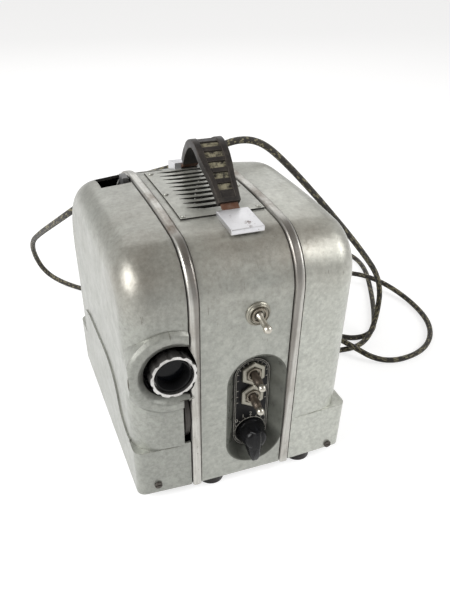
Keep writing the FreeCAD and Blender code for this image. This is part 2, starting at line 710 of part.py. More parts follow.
def lens_ring():
    rim = rod("ring_rim", "y", "lens_x", back("-5"), up("lens_z"), "ring_radius", "10")
    bore = rod("ring_bore_cut", "y", "lens_x", back("-6"), up("lens_z"), "ring_bore", "8")
    neck = rod("ring_neck", "y", "lens_x", back("1"), up("lens_z"), "neck_radius + fit", "6")
    flutes = []
    for number in range(RING_LOBES):
        angle = math.radians(360 * number / RING_LOBES)
        x = "lens_x + %.4f * (ring_radius + 1.6)" % math.cos(angle)
        z = up("lens_z + %.4f * (ring_radius + 1.6)" % math.sin(angle))
        flutes.append(rod("ring_flute_%d" % number, "y", x, back("-6"), z, "2.6", "12"))
    return cut("lens_ring", rim, [bore, neck] + flutes)


def lens_glass():
    return rod("lens_glass", "y", "lens_x", back("6"), up("lens_z"), "barrel_bore", "4")


def film_gate():
    plate = box("gate_plate", "-66", back("62"), up("95"), "66 + (%s)" % CHASSIS, "2", "50")
    rails = [box("gate_rail_%s" % x, x, back("60.6"), up("97"), "1.5", "2", "46") for x in ("-61.6", "-52.5")]
    window = box("gate_window", "lens_x - 2.5", back("55"), up("lens_z - 2"), "5", "15", "4")
    return cut("film_gate", fuse("gate_solid", [plate] + rails), [window])


def mirror():
    glass = box("mirror_glass", "lens_x - 9.2", back("beam_y - 9.2"), up("lens_z - 13"), "26", "2", "26")
    glass.Placement.Rotation = Turn(Vec(0, 0, 1), 45)
    foot_plate = box("mirror_foot", "-50", back("beam_y + 8.5"), up("lens_z - 13"), "50 + (%s)" % CHASSIS, "2.5", "26")
    return fuse("mirror", [glass, foot_plate])


LAMP_X = "2"


def lamp():
    bulb = rod("lamp_bulb", "z", LAMP_X, back("beam_y"), up("102"), "11", "26")
    dome = ball("lamp_dome", LAMP_X, back("beam_y"), up("128"), "11")
    cap = rod("lamp_cap", "z", LAMP_X, back("beam_y"), up("86"), "8", "16.5")
    return fuse("lamp", [bulb, dome, cap])


def lamp_house():
    outer = box("house_outer", "-20", back("beam_y - 25"), up("88"), "50", "50", "72")
    room = box("house_room", "-18.8", back("beam_y - 23.8"), up("89.2"), "47.6", "47.6", "80")
    socket = rod("house_socket", "z", LAMP_X, back("beam_y"), up("80"), "10", "16")
    leg = box("house_leg", "26", back("beam_y - 10"), "foot_height + plate_wall", "4", "20", "88 - plate_wall")
    walls = fuse("house_solid", [cut("house_box", outer, [room]), socket, leg])
    beam = rod("house_beam", "x", "-25", back("beam_y"), up("lens_z"), "10", "10")
    seat = rod("house_seat", "z", LAMP_X, back("beam_y"), up("85.5"), "8.1", "20")
    return cut("lamp_house", walls, [beam, seat])


# Film drive
def toothed(name, teeth, root, tip, x, y, z, width, phase):
    """A gear on the X axis whose teeth are small trapezoids."""
    step = 2 * math.pi / teeth
    low, high = num(root), num(tip)
    cy, cz = num(y), num(z)
    corners = []
    for number in range(teeth):
        middle = number * step + phase
        for shift, radius in ((-0.32, low), (-0.14, high), (0.14, high), (0.32, low)):
            angle = middle + shift * step
            corners.append(Vec(cy + radius * math.cos(angle), cz + radius * math.sin(angle), 0))
    body = doc.addObject("PartDesign::Body", name)
    sketch = sketch_on(body, "yz", x)
    for index, corner in enumerate(corners):
        sketch.addGeometry(Part.LineSegment(corner, corners[(index + 1) % len(corners)]))
    pad_of(body, sketch, width)
    return body


GEAR_MODULE = 0.6
PINION_TEETH = 10
SPROCKET_TEETH = 120
GEAR_X = "-36.5"
SHUTTER_X = "-32"
BELT_X = "-29"
DRIVE_X = "-23"


def pitch_radius(teeth):
    return GEAR_MODULE * teeth / 2


def mesh_angle():
    """Direction from the main shaft to the sprocket shaft."""
    return math.atan2(num("sprocket_z - shaft_z"), num("sprocket_y - shaft_y"))


def main_shaft():
    shaft = rod("main_shaft_rod", "x", "wheel_x - 3", back("shaft_y"), up("shaft_z"), "shaft_radius", "-27 - wheel_x")
    front = rod("main_shaft_end", "x", "-34", back("shaft_y"), up("shaft_z"), "shaft_radius", "18")
    pinion = toothed("pinion", PINION_TEETH, "%.2f" % (pitch_radius(PINION_TEETH) - 0.3),
                     "%.2f" % (pitch_radius(PINION_TEETH) + 0.35), GEAR_X, back("shaft_y"), up("shaft_z"), "3",
                     mesh_angle())
    return fuse("main_shaft", [shaft, front, pinion])


def main_pulley():
    """One hub with a groove for the shutter belt and one for the motor belt."""
    y, z = back("shaft_y"), up("shaft_z")
    hub = rod("main_hub", "x", BELT_X, y, z, "belt_radius", "4")
    drum = rod("main_drum", "x", BELT_X + " + 4", y, z, "drive_radius", "7.5")
    rims = [
        rod("main_rim_left", "x", BELT_X + " - 1.2", y, z, "belt_radius + 2", "1.2"),
        rod("main_rim_middle", "x", BELT_X + " + 4", y, z, "drive_radius + 2", "1.2"),
        rod("main_rim_right", "x", BELT_X + " + 10.8", y, z, "drive_radius + 2", "1.2"),
    ]
    bore = rod("main_pulley_bore", "x", BELT_X + " - 5", y, z, "shaft_radius", "20")
    return cut("main_pulley", fuse("main_pulley_solid", [hub, drum] + rims), [bore])


def hand_wheel():
    y, z = back("shaft_y"), up("shaft_z")
    disc = rod("wheel_disc", "x", "wheel_x", y, z, "wheel_radius", "wheel_width")
    face = rod("wheel_face", "x", "wheel_x - 1", y, z, "wheel_radius - 5", "2")
    hub = rod("wheel_hub", "x", "wheel_x - 4", y, z, "7", "5")
    bore = rod("wheel_bore", "x", "wheel_x - 9", y, z, "shaft_radius", "20")
    dished = cut("wheel_dished", disc, [face])
    return cut("hand_wheel", fuse("wheel_solid", [dished, hub]), [bore])


def sprocket_gear():
    """The large gear and the shaft that carries the film sprocket."""
    y, z = back("sprocket_y"), up("sprocket_z")
    half_tooth = math.pi / SPROCKET_TEETH
    gear = toothed("sprocket_wheel", SPROCKET_TEETH, "%.2f" % (pitch_radius(SPROCKET_TEETH) - 0.35),
                   "%.2f" % (pitch_radius(SPROCKET_TEETH) + 0.3), GEAR_X, y, z, "3",
                   mesh_angle() + math.pi + half_tooth)
    shaft = rod("sprocket_rod", "x", "-63", y, z, "shaft_radius", "63 - 33.5")
    return fuse("sprocket_gear", [gear, shaft])


def film_sprocket():
    y, z = back("sprocket_y"), up("sprocket_z")
    drum = rod("sprocket_drum", "x", "-61", y, z, "7.3", "9")
    rims = [rod("sprocket_rim_%s" % x, "x", x, y, z, "8.5", "1") for x in ("-62", "-52")]
    bore = rod("sprocket_bore", "x", "-70", y, z, "shaft_radius", "30")
    return cut("film_sprocket", fuse("sprocket_solid", [drum] + rims), [bore])


def shutter_shaft():
    y, z = back("shutter_y"), up("shutter_z")
    shaft = rod("shutter_rod", "x", "-43", y, z, "shaft_radius", "18.5")
    pulley = rod("shutter_pulley", "x", BELT_X, y, z, "belt_radius", "4")
    rims = [
        rod("shutter_rim_left", "x", BELT_X + " - 1.2", y, z, "belt_radius + 2", "1.2"),
        rod("shutter_rim_right", "x", BELT_X + " + 4", y, z, "belt_radius + 2", "1.2"),
    ]
    return fuse("shutter_shaft", [shaft, pulley] + rims)


def shutter_disc():
    """Three blades; the gap between two of them stands at the lamp beam."""
    y, z = back("shutter_y"), up("shutter_z")
    disc = rod("shutter_blank", "x", SHUTTER_X, y, z, "shutter_radius", "1")
    bore = rod("shutter_bore", "x", SHUTTER_X + " - 2", y, z, "shaft_radius", "6")
    beam = math.degrees(math.atan2(num("lens_z - shutter_z"), num("beam_y - shutter_y")))
    gaps = []
    for number in range(3):
        gap = doc.addObject("Part::Cylinder", "shutter_gap_%d" % number)
        bind(gap, Radius="shutter_radius + 2", Height="6", Angle="48")
        gap.Placement.Rotation = Turn(Vec(1, 0, 0), beam + 120 * number - 24).multiply(
            Turn(Vec(0, 0, 1), Vec(1, 0, 0), Vec(0, 1, 0), "ZXY"))
        bind_place(gap, SHUTTER_X + " - 2", y, z)
        gaps.append(gap)
    hub = rod("shutter_hub", "x", SHUTTER_X, y, z, "17", "1")
    blades = fuse("shutter_solid", [cut("shutter_blades", disc, gaps), hub])
    return cut("shutter_disc", blades, [bore])


def belt(name, x, width, first, second, thick):
    """A flat belt round two pulleys, each given as (y, z, radius)."""
    body = doc.addObject("PartDesign::Body", name)
    sketch = sketch_on(body, "yz", x)
    clear = 0.3
    (y1, z1, r1), (y2, z2, r2) = [[num(item) for item in pulley] for pulley in (first, second)]
    along = math.atan2(z2 - z1, y2 - y1)
    span = math.hypot(y2 - y1, z2 - z1)
    for grow in (clear, clear + thick):
        a, b = r1 + grow, r2 + grow
        lean = math.acos((a - b) / span)
        tops = []
        for side in (1, -1):
            way = Vec(math.cos(along + side * lean), math.sin(along + side * lean), 0)
            tops.append((Vec(y1, z1, 0) + way * a, Vec(y2, z2, 0) + way * b))
        sketch.addGeometry(Part.LineSegment(tops[0][0], tops[0][1]))
        sketch.addGeometry(Part.LineSegment(tops[1][0], tops[1][1]))
        up_angle, low_angle = along + lean, along - lean + 2 * math.pi
        first_circle = Part.Circle(Vec(y1, z1, 0), Vec(0, 0, 1), a)
        second_circle = Part.Circle(Vec(y2, z2, 0), Vec(0, 0, 1), b)
        sketch.addGeometry(Part.ArcOfCircle(first_circle, up_angle, low_angle))
        sketch.addGeometry(Part.ArcOfCircle(second_circle, low_angle - 2 * math.pi, up_angle))
    pad_of(body, sketch, width)
    return body


def belts():
    main = (back("shaft_y"), up("shaft_z"))
    return [
        belt("shutter_belt", BELT_X + " + 0.5", "3", main + ("belt_radius",),
             (back("shutter_y"), up("shutter_z"), "belt_radius"), 1.2),
        belt("drive_belt", DRIVE_X + " + 0.5", "3.8", main + ("drive_radius",),
             (back("motor_y"), up("motor_z"), "motor_pulley_radius"), 1.6),
    ]


def motor():
    y, z = back("motor_y"), up("motor_z")
    can = rod("motor_can", "x", "-10", y, z, "motor_radius", "76")
    noses = [rod("motor_nose_left", "x", "-13", y, z, "10", "4"), rod("motor_nose_right", "x", "65", y, z, "10", "4")]
    cradle = box("motor_cradle", "0", back("motor_y - 22"), "foot_height + plate_wall", "34", "44",
                 "motor_z - plate_wall - 10")
    bore = rod("motor_bore", "x", "-20", y, z, "rotor_radius + fit", "100")
    return cut("motor", fuse("motor_solid", [can, cradle] + noses), [bore])


def rotor_shaft():
    y, z = back("motor_y"), up("motor_z")
    shaft = rod("rotor_rod", "x", "-25", y, z, "rotor_radius", "motor_upper + 20")
    pulley = rod("rotor_pulley", "x", DRIVE_X, y, z, "motor_pulley_radius", "4.8")
    rims = [
        rod("rotor_rim_left", "x", DRIVE_X + " - 1.2", y, z, "motor_pulley_radius + 2", "1.2"),
        rod("rotor_rim_right", "x", DRIVE_X + " + 4.8", y, z, "motor_pulley_radius + 2", "1.2"),
    ]
    return fuse("rotor_shaft", [shaft, pulley] + rims)


FAN_BLADES = 12
FAN_ROOT = 15
FAN_X = "motor_upper - 15"


def fan():
    y, z = back("motor_y"), up("motor_z")
    disc = rod("fan_disc", "x", "motor_upper - 7", y, z, "26", "1.2")
    hub = rod("fan_hub", "x", FAN_X, y, z, "6", "9")
    blades = []
    for number in range(FAN_BLADES):
        blade = box("fan_blade_%d" % number, FAN_X, y, z, "8.5", "1", "10")
        turn = Turn(Vec(1, 0, 0), 360 * number / FAN_BLADES)
        blade.Placement.Rotation = turn
        step = turn.multVec(Vec(0, 0, FAN_ROOT))
        bind_place(blade, FAN_X, y + " + %.4f" % step.y, z + " + %.4f" % step.z)
        blades.append(blade)
    bore = rod("fan_bore", "x", FAN_X + " - 3", y, z, "rotor_radius", "16")
    return cut("fan", fuse("fan_solid", [disc, hub] + blades), [bore])


# Reel holders
def takeup_spindle():
    y, z = back("takeup_y"), up("takeup_z")
    shaft = rod("takeup_rod", "x", "-76", y, z, "spindle_radius", "40")
    collar = rod("takeup_collar", "x", CHASSIS + " - 3", y, z, "9", "2.8")
    clutch = rod("takeup_clutch", "x", CHASSIS + " + plate_wall + 0.2", y, z, "9", "2")
    return fuse("takeup_spindle", [shaft, collar, clutch])


ARM_X = "-52.5"
ARM_THICK = "4.5"


def supply_arm():
    """A flat bar that pulls up through the slot; its tongue runs in the chassis plate."""
    y, low = back("arm_y - arm_width / 2"), up("arm_top - arm_length")
    bar = box("arm_bar", ARM_X, y, low, ARM_THICK, "arm_width", "arm_length")
    top = rod("arm_round", "x", ARM_X, back("arm_y"), up("arm_top"), "arm_width / 2", ARM_THICK)
    spacer = box("arm_spacer", ARM_X + " + 4.4", y, low, "6.8", "arm_width", "tongue_length + 4")
    tongue = box("arm_tongue", "-42", back("arm_y - tongue_width / 2"), up("arm_top - arm_length + 2"),
                 "4.6", "tongue_width", "tongue_length")
    hole = rod("arm_hole", "x", ARM_X + " - 2", back("arm_y"), up("arm_top"), "pin_radius + fit", "12")
    return cut("supply_arm", fuse("arm_solid", [bar, top, spacer, tongue]), [hole])


def reel_spindle():
    y, z = back("arm_y"), up("arm_top")
    seat = rod("reel_seat", "x", "-66", y, z, "spindle_radius", "66 - 54.3")
    pin = rod("reel_pin", "x", "-60", y, z, "pin_radius", "60 - 47.4 + 0.6")
    collar = rod("reel_collar", "x", ARM_X + " - 1.8", y, z, "5.5", "1.6")
    keeper = rod("reel_keeper", "x", ARM_X + " + 4.7", y, z, "4.5", "1.2")
    return fuse("reel_spindle", [seat, pin, collar, keeper])


def arm_catch():
    """The bright catch block beside the trim band at the front of the reel arm slot."""
    block = box("catch_block", "-50.5", back("slot_front + 5.5"), up("crown_height - 9"), "5.3", "12", "11")
    stem = box("catch_stem", "-50.5", back("slot_front + 5.5"), up("crown_height - 18"),
               "50.5 + (%s)" % CHASSIS, "12", "9.5")
    return fuse("arm_catch", [block, stem])


# Handle: depth and height of its middle line from the front bottom corner, under and beyond the rubber strap
STRAP_LINE = [(60, 213.6), (66, 218.8), (76, 226.2), (90, 235.6), (98, 240.5), (107, 243.2), (115, 241),
              (123, 236.4), (133.5, 229.3), (142.5, 219.2)]
STRIP_LINE = [(44, 208.5), (50, 208.8), (56, 210.7)] + STRAP_LINE + [(148.5, 213.8), (153, 211.5), (159, 210)]


def handle_point(depth, height):
    """A point of the handle's line; its rear half keeps its distance from the rear of the casing."""
    share = min(max((depth - 66) / (133.5 - 66), 0), 1)
    return Vec(num(back("%s + %s * (body_depth - 225)" % (depth, share))), num(up(height)), 0)


def ribbon(name, line, width, thick):
    """A flat strip of even thickness that follows a middle line, across the handle."""
    points = [handle_point(y, z) for y, z in line]
    edges = {1: [], -1: []}
    for index, point in enumerate(points):
        ahead = points[min(index + 1, len(points) - 1)]
        behind = points[max(index - 1, 0)]
        way = ahead - behind
        way.normalize()
        for side in edges:
            edges[side].append(point + Vec(-way.y, way.x, 0) * (side * thick / 2))
    body = doc.addObject("PartDesign::Body", name)
    sketch = sketch_on(body, "yz", "handle_x - (%s) / 2" % width)
    for side in edges:
        curve = Part.BSplineCurve()
        curve.interpolate(edges[side])
        sketch.addGeometry(curve)
    sketch.addGeometry(Part.LineSegment(edges[1][0], edges[-1][0]))
    sketch.addGeometry(Part.LineSegment(edges[1][-1], edges[-1][-1]))
    pad_of(body, sketch, width)
    return body


def handle_spring():
    return ribbon("handle_spring", STRIP_LINE, "strip_width", num("strip_thick"))


# Half-widths of the strap seen from above: depth behind the front face, share of the way from end to middle
STRAP_PLAN = [(56, 0), (66, 0.15), (73, 0.3), (80, 0.55), (88, 0.9), (98, 1), (114, 1), (122, 0.9),
              (130, 0.55), (137, 0.3), (148, 0)]


def handle_strap():
    sleeve = ribbon("strap_sleeve", STRAP_LINE, "strap_width", num("strap_thick"))
    sides = []
    for side in ("+", "-"):
        for depth, share in STRAP_PLAN[::1 if side == "+" else -1]:
            half = "(strap_end + %s * (strap_width - strap_end)) / 2" % share
            sides.append(("handle_x %s %s" % (side, half), "%.4f" % handle_point(depth, 0).x))
    plan = prism("strap_plan", "xy", up("crown_height - 10"), sides, "60")
    first, last = STRIP_LINE.index(STRAP_LINE[0]), STRIP_LINE.index(STRAP_LINE[-1])
    room = ribbon("strap_room", STRIP_LINE[first - 1:last + 2], "strip_width + 0.2", num("strip_thick") + 0.2)
    return cut("handle_strap", common("strap_shaped", sleeve, plan), [room])


CAP_FRONT = 23.5
CAP_REAR = 54


def handle_front_cap():
    """A flat plate that touches the curved top behind its middle; the strip slips in under its rear edge."""
    touch = 48
    slope = (num("crown_depth") - touch) * 2 * num("crown_height - front_height") / (
        num("crown_depth") ** 2 + num("crown_height - front_height") ** 2)
    low = ["%.3f" % (top_height(touch) + slope * (depth - touch) + 0.01) for depth in (CAP_FRONT, CAP_REAR)]
    plate = prism("front_cap_plate", "yz", "handle_x - cap_width / 2", [
        (back(CAP_FRONT), up(low[0])),
        (back(CAP_FRONT), up(low[0] + " + cap_thick")),
        (back(CAP_REAR), up(low[1] + " + cap_thick")),
        (back(CAP_REAR), up(low[1])),
    ], "cap_width")
    channel = box("front_cap_channel", "handle_x - strip_width / 2 - 0.2", back("40"), up("200"),
                  "strip_width + 0.4", "20", "10.6")
    return cut("handle_front_cap", plate, [channel])


REAR_CAP = "body_depth - 74.8"


def handle_rear_cap():
    start = "handle_x - cap_width / 2"
    skin = top_skin("rear_cap", "vent_thick", "vent_thick + cap_thick + 1.4", start, back(REAR_CAP),
                    "cap_width", "19.3")
    lip = top_skin("rear_cap_lip", "0", "vent_thick", start, back("vent_rear + 0.2"), "cap_width",
                   REAR_CAP + " + 19.1 - vent_rear")
    channel = box("rear_cap_channel", "handle_x - strip_width / 2 - 0.2", back("body_depth - 85"), up("209"),
                  "strip_width + 0.4", "20.5", "5.1")
    return cut("handle_rear_cap", fuse("rear_cap_solid", [skin, lip]), [channel])


# Mains cord: the corners of its route, chosen by hand, from behind the gland to the plug
CORD_ROUTE = [
    (20, 171, 30), (6, 207, 13), (-24, 235, 3), (-56, 261, 3), (-87, 297, 3), (-106, 313, 15),
    (-115, 311, 41), (-116, 289, 69), (-108, 239, 99), (-97, 180, 132), (-83, 127, 164), (-50, 113, 188),
    (-12, 107, 197), (18, 95, 206), (36, 78, 219), (56, 67, 232), (80, 64, 230), (106, 64, 209),
    (150, 66, 165), (204, 67, 107), (243, 71, 59), (236, 58, 17), (207, 33, 3), (166, 35, 3),
    (126, 45, 3), (105, 81, 3), (108, 115, 3), (128, 137, 3), (157, 133, 3), (172, 107, 3),
    (175, 75, 6), (183, 35, 12), (208, -5, 3), (264, -1, 3), (304, 39, 3), (316, 99, 3),
    (298, 155, 11), (262, 187, 12), (216, 181, 3), (188, 143, 3), (180, 103, 3), (182, 71, 3),
    (201, 49, 3), (230, 52, 3), (252, 83, 3), (284, 143, 3), (310, 201, 3), (312, 245, 3),
    (282, 279, 3), (230, 287, 3), (180, 269, 3), (136, 249, 5), (106, 247, 9), (84, 247, 9),
]


def cord_gland():
    y = back("body_depth")
    flange = rod("gland_flange", "y", "gland_x", y, up("gland_z"), "10", "2.5")
    neck = rod("gland_neck", "y", "gland_x", back("body_depth - 6"), up("gland_z"), "gland_neck", "7")
    boot = cone("gland_boot", "y", "gland_x", back("body_depth + 2"), up("gland_z"), "6.5", "4", "boot_length")
    return fuse("cord_gland", [flange, neck, boot])


def power_cord():
    """A tube along straight runs joined by tangent arcs, each arc as large as its two runs allow."""
    exit_place = Vec(num("gland_x"), num(back("body_depth + 2 + boot_length")), num(up("gland_z")))
    corners = [exit_place] + [Vec(*corner) for corner in CORD_ROUTE]
    edges = []
    last = corners[0]
    radii = []
    for before, here, after in zip(corners, corners[1:], corners[2:]):
        way_in, way_out = here - before, after - here
        reach = 0.45 * min(way_in.Length, way_out.Length)
        half_turn = way_in.getAngle(way_out) / 2
        radii.append(reach / math.tan(half_turn))
        way_in.normalize()
        way_out.normalize()
        start, end = here - way_in * reach, here + way_out * reach
        inward = way_out - way_in
        inward.normalize()
        gap = radii[-1] / math.cos(half_turn) - radii[-1]
        edges.append(Part.LineSegment(last, start).toShape())
        edges.append(Part.Arc(start, here + inward * gap, end).toShape())
        last = end
    edges.append(Part.LineSegment(last, corners[-1]).toShape())
    path = Part.Wire(edges)
    radius = num("cord_size") / 2
    section = Part.Wire(Part.Circle(corners[0], corners[1] - corners[0], radius).toShape())
    cord = doc.addObject("Part::Feature", "power_cord")
    cord.Shape = path.makePipeShell([section], True, False)
    expected = math.pi * radius ** 2 * path.Length
    print("cord length %.0f, radii %s" % (path.Length, [round(r) for r in radii]))
    print("cord volume %.0f, expected %.0f" % (cord.Shape.Volume, expected))
    return cord


PLUG_Z = "9"


def cord_plug():
    """The plug lies on the table at the cord's end."""
    end = CORD_ROUTE[-1]
    x, y = str(end[0]), str(end[1])
    relief = cone("plug_relief", "x", x + " - 20", y, PLUG_Z, "7", "4", "20")
    block = box("plug_block", x + " - 46", y + " - 14", "0", "28", "28", "18")
    soft = doc.addObject("Part::Fillet", "plug_soft")
    soft.Base = block
    doc.recompute()
    soft.Edges = [(number + 1, 4, 4) for number in range(len(block.Shape.Edges))]
    sockets = [rod("plug_bore_%s" % side, "x", x + " - 50", y + side + "9.5", PLUG_Z, "2.4", "12")
               for side in (" + ", " - ")]
    return cut("cord_plug", fuse("plug_solid", [relief, soft]), sockets)


def plug_pins():
    end = CORD_ROUTE[-1]
    x, y = str(end[0]), str(end[1])
    pins = [rod("pin_%d" % number, "x", x + " - 65", y + side + "9.5", PLUG_Z, "2.4", "27")
            for number, side in enumerate((" + ", " - "))]
    return fuse("plug_pins", pins)


def make_all():
    """Every sub-part, by the name of its file."""
    pieces = [
        center_casing(), left_trim_band(), right_trim_band(), base_plate(), chassis_plate(),
        film_cover(), motor_cover(), vent_panel(), vent_screws(), control_well(), control_plate(),
        speed_knob(), rheostat(), lens_mount(), lens_barrel(), lens_ring(), lens_glass(), film_gate(),
        mirror(), lamp(), lamp_house(), main_shaft(), main_pulley(), hand_wheel(), sprocket_gear(),
        film_sprocket(), shutter_shaft(), shutter_disc(), motor(), rotor_shaft(), fan(),
        takeup_spindle(), supply_arm(), reel_spindle(), arm_catch(),
        handle_spring(), handle_strap(), handle_front_cap(), handle_rear_cap(),
        cord_gland(), power_cord(), cord_plug(), plug_pins(),
        slotted_screw("film_cover_screw", FILM_SCREW_X, screw_seat("film_base", "film_screw_in"), up("film_screw_z")),
        slotted_screw("motor_cover_screw", MOTOR_SCREW_X, screw_seat("motor_base", "motor_screw_in"),
                      up("motor_screw_z")),
    ]
    pieces += feet()
    pieces += belts()
    pieces += switch("upper_switch", "upper_x", up("upper_z"), "0", "shell_wall", False, 11, "17.3", "2.3")
    pieces += switch("middle_switch", "well_x", up("middle_z"), "well_depth - plate_thick",
                     "plate_thick + well_wall", True, 8, "18.5", "3.7")
    pieces += switch("lower_switch", "well_x", up("lower_z"), "well_depth - plate_thick",
                     "plate_thick + well_wall", True, 12, "18.5", "3.7")
    return pieces


pieces = make_all()
doc.recompute()

failed = [item.Name for item in doc.Objects if "Invalid" in item.State or "Error" in item.State]
if failed:
    raise RuntimeError("failed objects: %s" % failed)
for piece in pieces:
    piece.Label = piece.Name
    if piece.Shape.isNull() or not piece.Shape.isValid() or piece.Shape.Volume <= 0:
        raise RuntimeError("bad shape: " + piece.Name)

to_origin = Vec(num("(film_base - motor_base) / 2"), 0, 0)
os.makedirs("parts", exist_ok=True)
for piece in pieces:
    piece.Shape.translated(to_origin).exportStep(os.path.join("parts", piece.Label + ".step"))
print(len(pieces), "pieces written")
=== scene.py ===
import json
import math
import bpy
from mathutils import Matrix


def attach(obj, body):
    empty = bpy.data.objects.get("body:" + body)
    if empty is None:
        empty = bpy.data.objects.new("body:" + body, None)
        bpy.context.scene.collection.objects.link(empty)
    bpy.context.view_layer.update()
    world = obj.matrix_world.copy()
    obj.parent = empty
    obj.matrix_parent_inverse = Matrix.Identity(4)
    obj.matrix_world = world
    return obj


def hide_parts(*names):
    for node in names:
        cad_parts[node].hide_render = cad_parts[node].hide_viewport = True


bl_info = {
    "name": "Film Projector",
    "version": (1, 0, 0),
    "blender": (4, 5, 0),
    "location": "View3D > Sidebar > Projector",
    "description": "Dresses a small-gauge film projector in its enamel, trim, controls, handle and cord",
    "category": "Add Mesh",
}

import bmesh
import bpy
from mathutils import Euler, Matrix, Vector

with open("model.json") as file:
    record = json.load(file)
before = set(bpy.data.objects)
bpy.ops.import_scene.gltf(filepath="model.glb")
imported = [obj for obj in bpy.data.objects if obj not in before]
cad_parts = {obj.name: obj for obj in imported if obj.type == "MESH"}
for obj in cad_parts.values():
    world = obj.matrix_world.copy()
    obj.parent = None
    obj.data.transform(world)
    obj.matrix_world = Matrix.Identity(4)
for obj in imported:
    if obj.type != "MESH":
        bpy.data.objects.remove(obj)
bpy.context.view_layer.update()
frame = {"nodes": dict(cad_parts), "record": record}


def extent(node):
    """The lowest and the highest corner of a CAD node's box."""
    piece = frame["nodes"][node]
    corners = [piece.matrix_world @ Vector(corner) for corner in piece.bound_box]
    return [Vector([limit(corner[axis] for corner in corners) for axis in range(3)]) for limit in (min, max)]


# Depths are measured back from the front face and heights up from the casing bottom
FRONT = extent("center_casing")[0].y
BOTTOM = extent("center_casing")[0].z
MIDDLE_X = (extent("center_casing")[0].x + extent("center_casing")[1].x) / 2
PLATE_LOW, PLATE_HIGH = extent("control_plate")
PLATE_REACH = (PLATE_HIGH.x - PLATE_LOW.x) / 2
PLATE_DEPTH = PLATE_LOW.y - FRONT
WELL_X = PLATE_LOW.x + PLATE_REACH
WELL_LOW = PLATE_LOW.z + PLATE_REACH - BOTTOM
WELL_HIGH = PLATE_HIGH.z - PLATE_REACH - BOTTOM
BODY_OF = {node: body for body, nodes in frame["record"]["behaviour"]["bodies"].items() for node in nodes}

# A millimetre in metres, and a metre in millimetres
MM = 0.001
TO_MM = 1000
# Faces that meet at less than this many degrees look like one smooth surface
SMOOTH_ANGLE = 35
# Corners of a CAD mesh this close are one corner, and faces within this many degrees are one face
MERGE_DISTANCE = 0.00002
FLAT_ANGLE = 0.3
# A face of a shell is outside where it looks up by more than this share, and inside where it faces
# the casing's middle from at least this distance
LEDGE_UP = 0.3
INSIDE_DISTANCE = 0.01
# Sides of a turned piece
ROUND_SIDES = 48
# Roundings of the pieces' edges
FINE_EDGE = 0.0002
SMALL_EDGE = 0.0003
SOFT_EDGE = 0.0004
ROUND_EDGE = 0.0006
BROAD_EDGE = 0.0008


def place(x, depth, height):
    """The spot at a depth behind the front face and a height above the casing bottom."""
    return Vector((x, FRONT + depth, BOTTOM + height))


# Mesh tools
def deselect():
    """Leaves edit mode and selects nothing."""
    active = bpy.context.view_layer.objects.active
    if active and active.mode != "OBJECT":
        bpy.ops.object.mode_set(mode="OBJECT")
    bpy.ops.object.select_all(action="DESELECT")


def focus(piece):
    deselect()
    piece.select_set(True)
    bpy.context.view_layer.objects.active = piece


def started(name):
    """The primitive that was just added, under its own name."""
    piece = bpy.context.object
    piece.name = name
    piece.data.name = name
    return piece


def edit(piece, kind="FACE"):
    """Goes into the piece's edit mode with nothing selected."""
    focus(piece)
    bpy.ops.object.mode_set(mode="EDIT")
    bpy.ops.mesh.select_mode(type=kind)
    bpy.ops.mesh.select_all(action="DESELECT")


def pick(piece, kind, wanted):
    """Selects the vertices, edges or faces for which wanted is true, and nothing else."""
    bpy.ops.mesh.select_mode(type=kind)
    bpy.ops.mesh.select_all(action="DESELECT")
    mesh = bmesh.from_edit_mesh(piece.data)
    mesh.normal_update()
    items = {"VERT": mesh.verts, "EDGE": mesh.edges, "FACE": mesh.faces}[kind]
    chosen = [item for item in items if wanted(item)]
    for item in chosen:
        item.select_set(True)
    bmesh.update_edit_mesh(piece.data)
    if not chosen:
        raise RuntimeError("nothing to pick on " + piece.name)


def modify(piece, kind, **settings):
    """Adds a modifier with these settings and applies it."""
    focus(piece)
    bpy.ops.object.modifier_add(type=kind)
    modifier = piece.modifiers[-1]
    for name, value in settings.items():
        setattr(modifier, name, value)
    bpy.ops.object.modifier_apply(modifier=modifier.name)


def soften(piece, width, segments=2, angle=SMOOTH_ANGLE):
    """Rounds the edges that are sharper than the angle."""
    modify(piece, "BEVEL", width=width, segments=segments, limit_method="ANGLE",
           angle_limit=math.radians(angle))


def settle(piece):
    """Moves the object's place, turn and scale into its mesh."""
    focus(piece)
    bpy.ops.object.transform_apply(location=True, rotation=True, scale=True)


def joined(name, pieces):
    """All the pieces as one, under a new name."""
    deselect()
    for piece in pieces:
        piece.select_set(True)
    bpy.context.view_layer.objects.active = pieces[0]
    bpy.ops.object.join()
    return started(name)


def paint(piece, material, wanted):
    """Gives the faces for which wanted is true another finish."""
    piece.data.materials.append(material)
    number = len(piece.data.materials) - 1
    for face in piece.data.polygons:
        if wanted(face):
            face.material_index = number


def complete(piece, body, material, nodes=(), angle=SMOOTH_ANGLE):
    """Settles and shades the piece, and gives it its finish, its body and the nodes that it stands for."""
    settle(piece)
    bpy.ops.object.shade_smooth_by_angle(angle=math.radians(angle))
    if not piece.data.materials:
        piece.data.materials.append(material)
    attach(piece, body)
    if nodes:
        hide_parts(*nodes)
    return piece


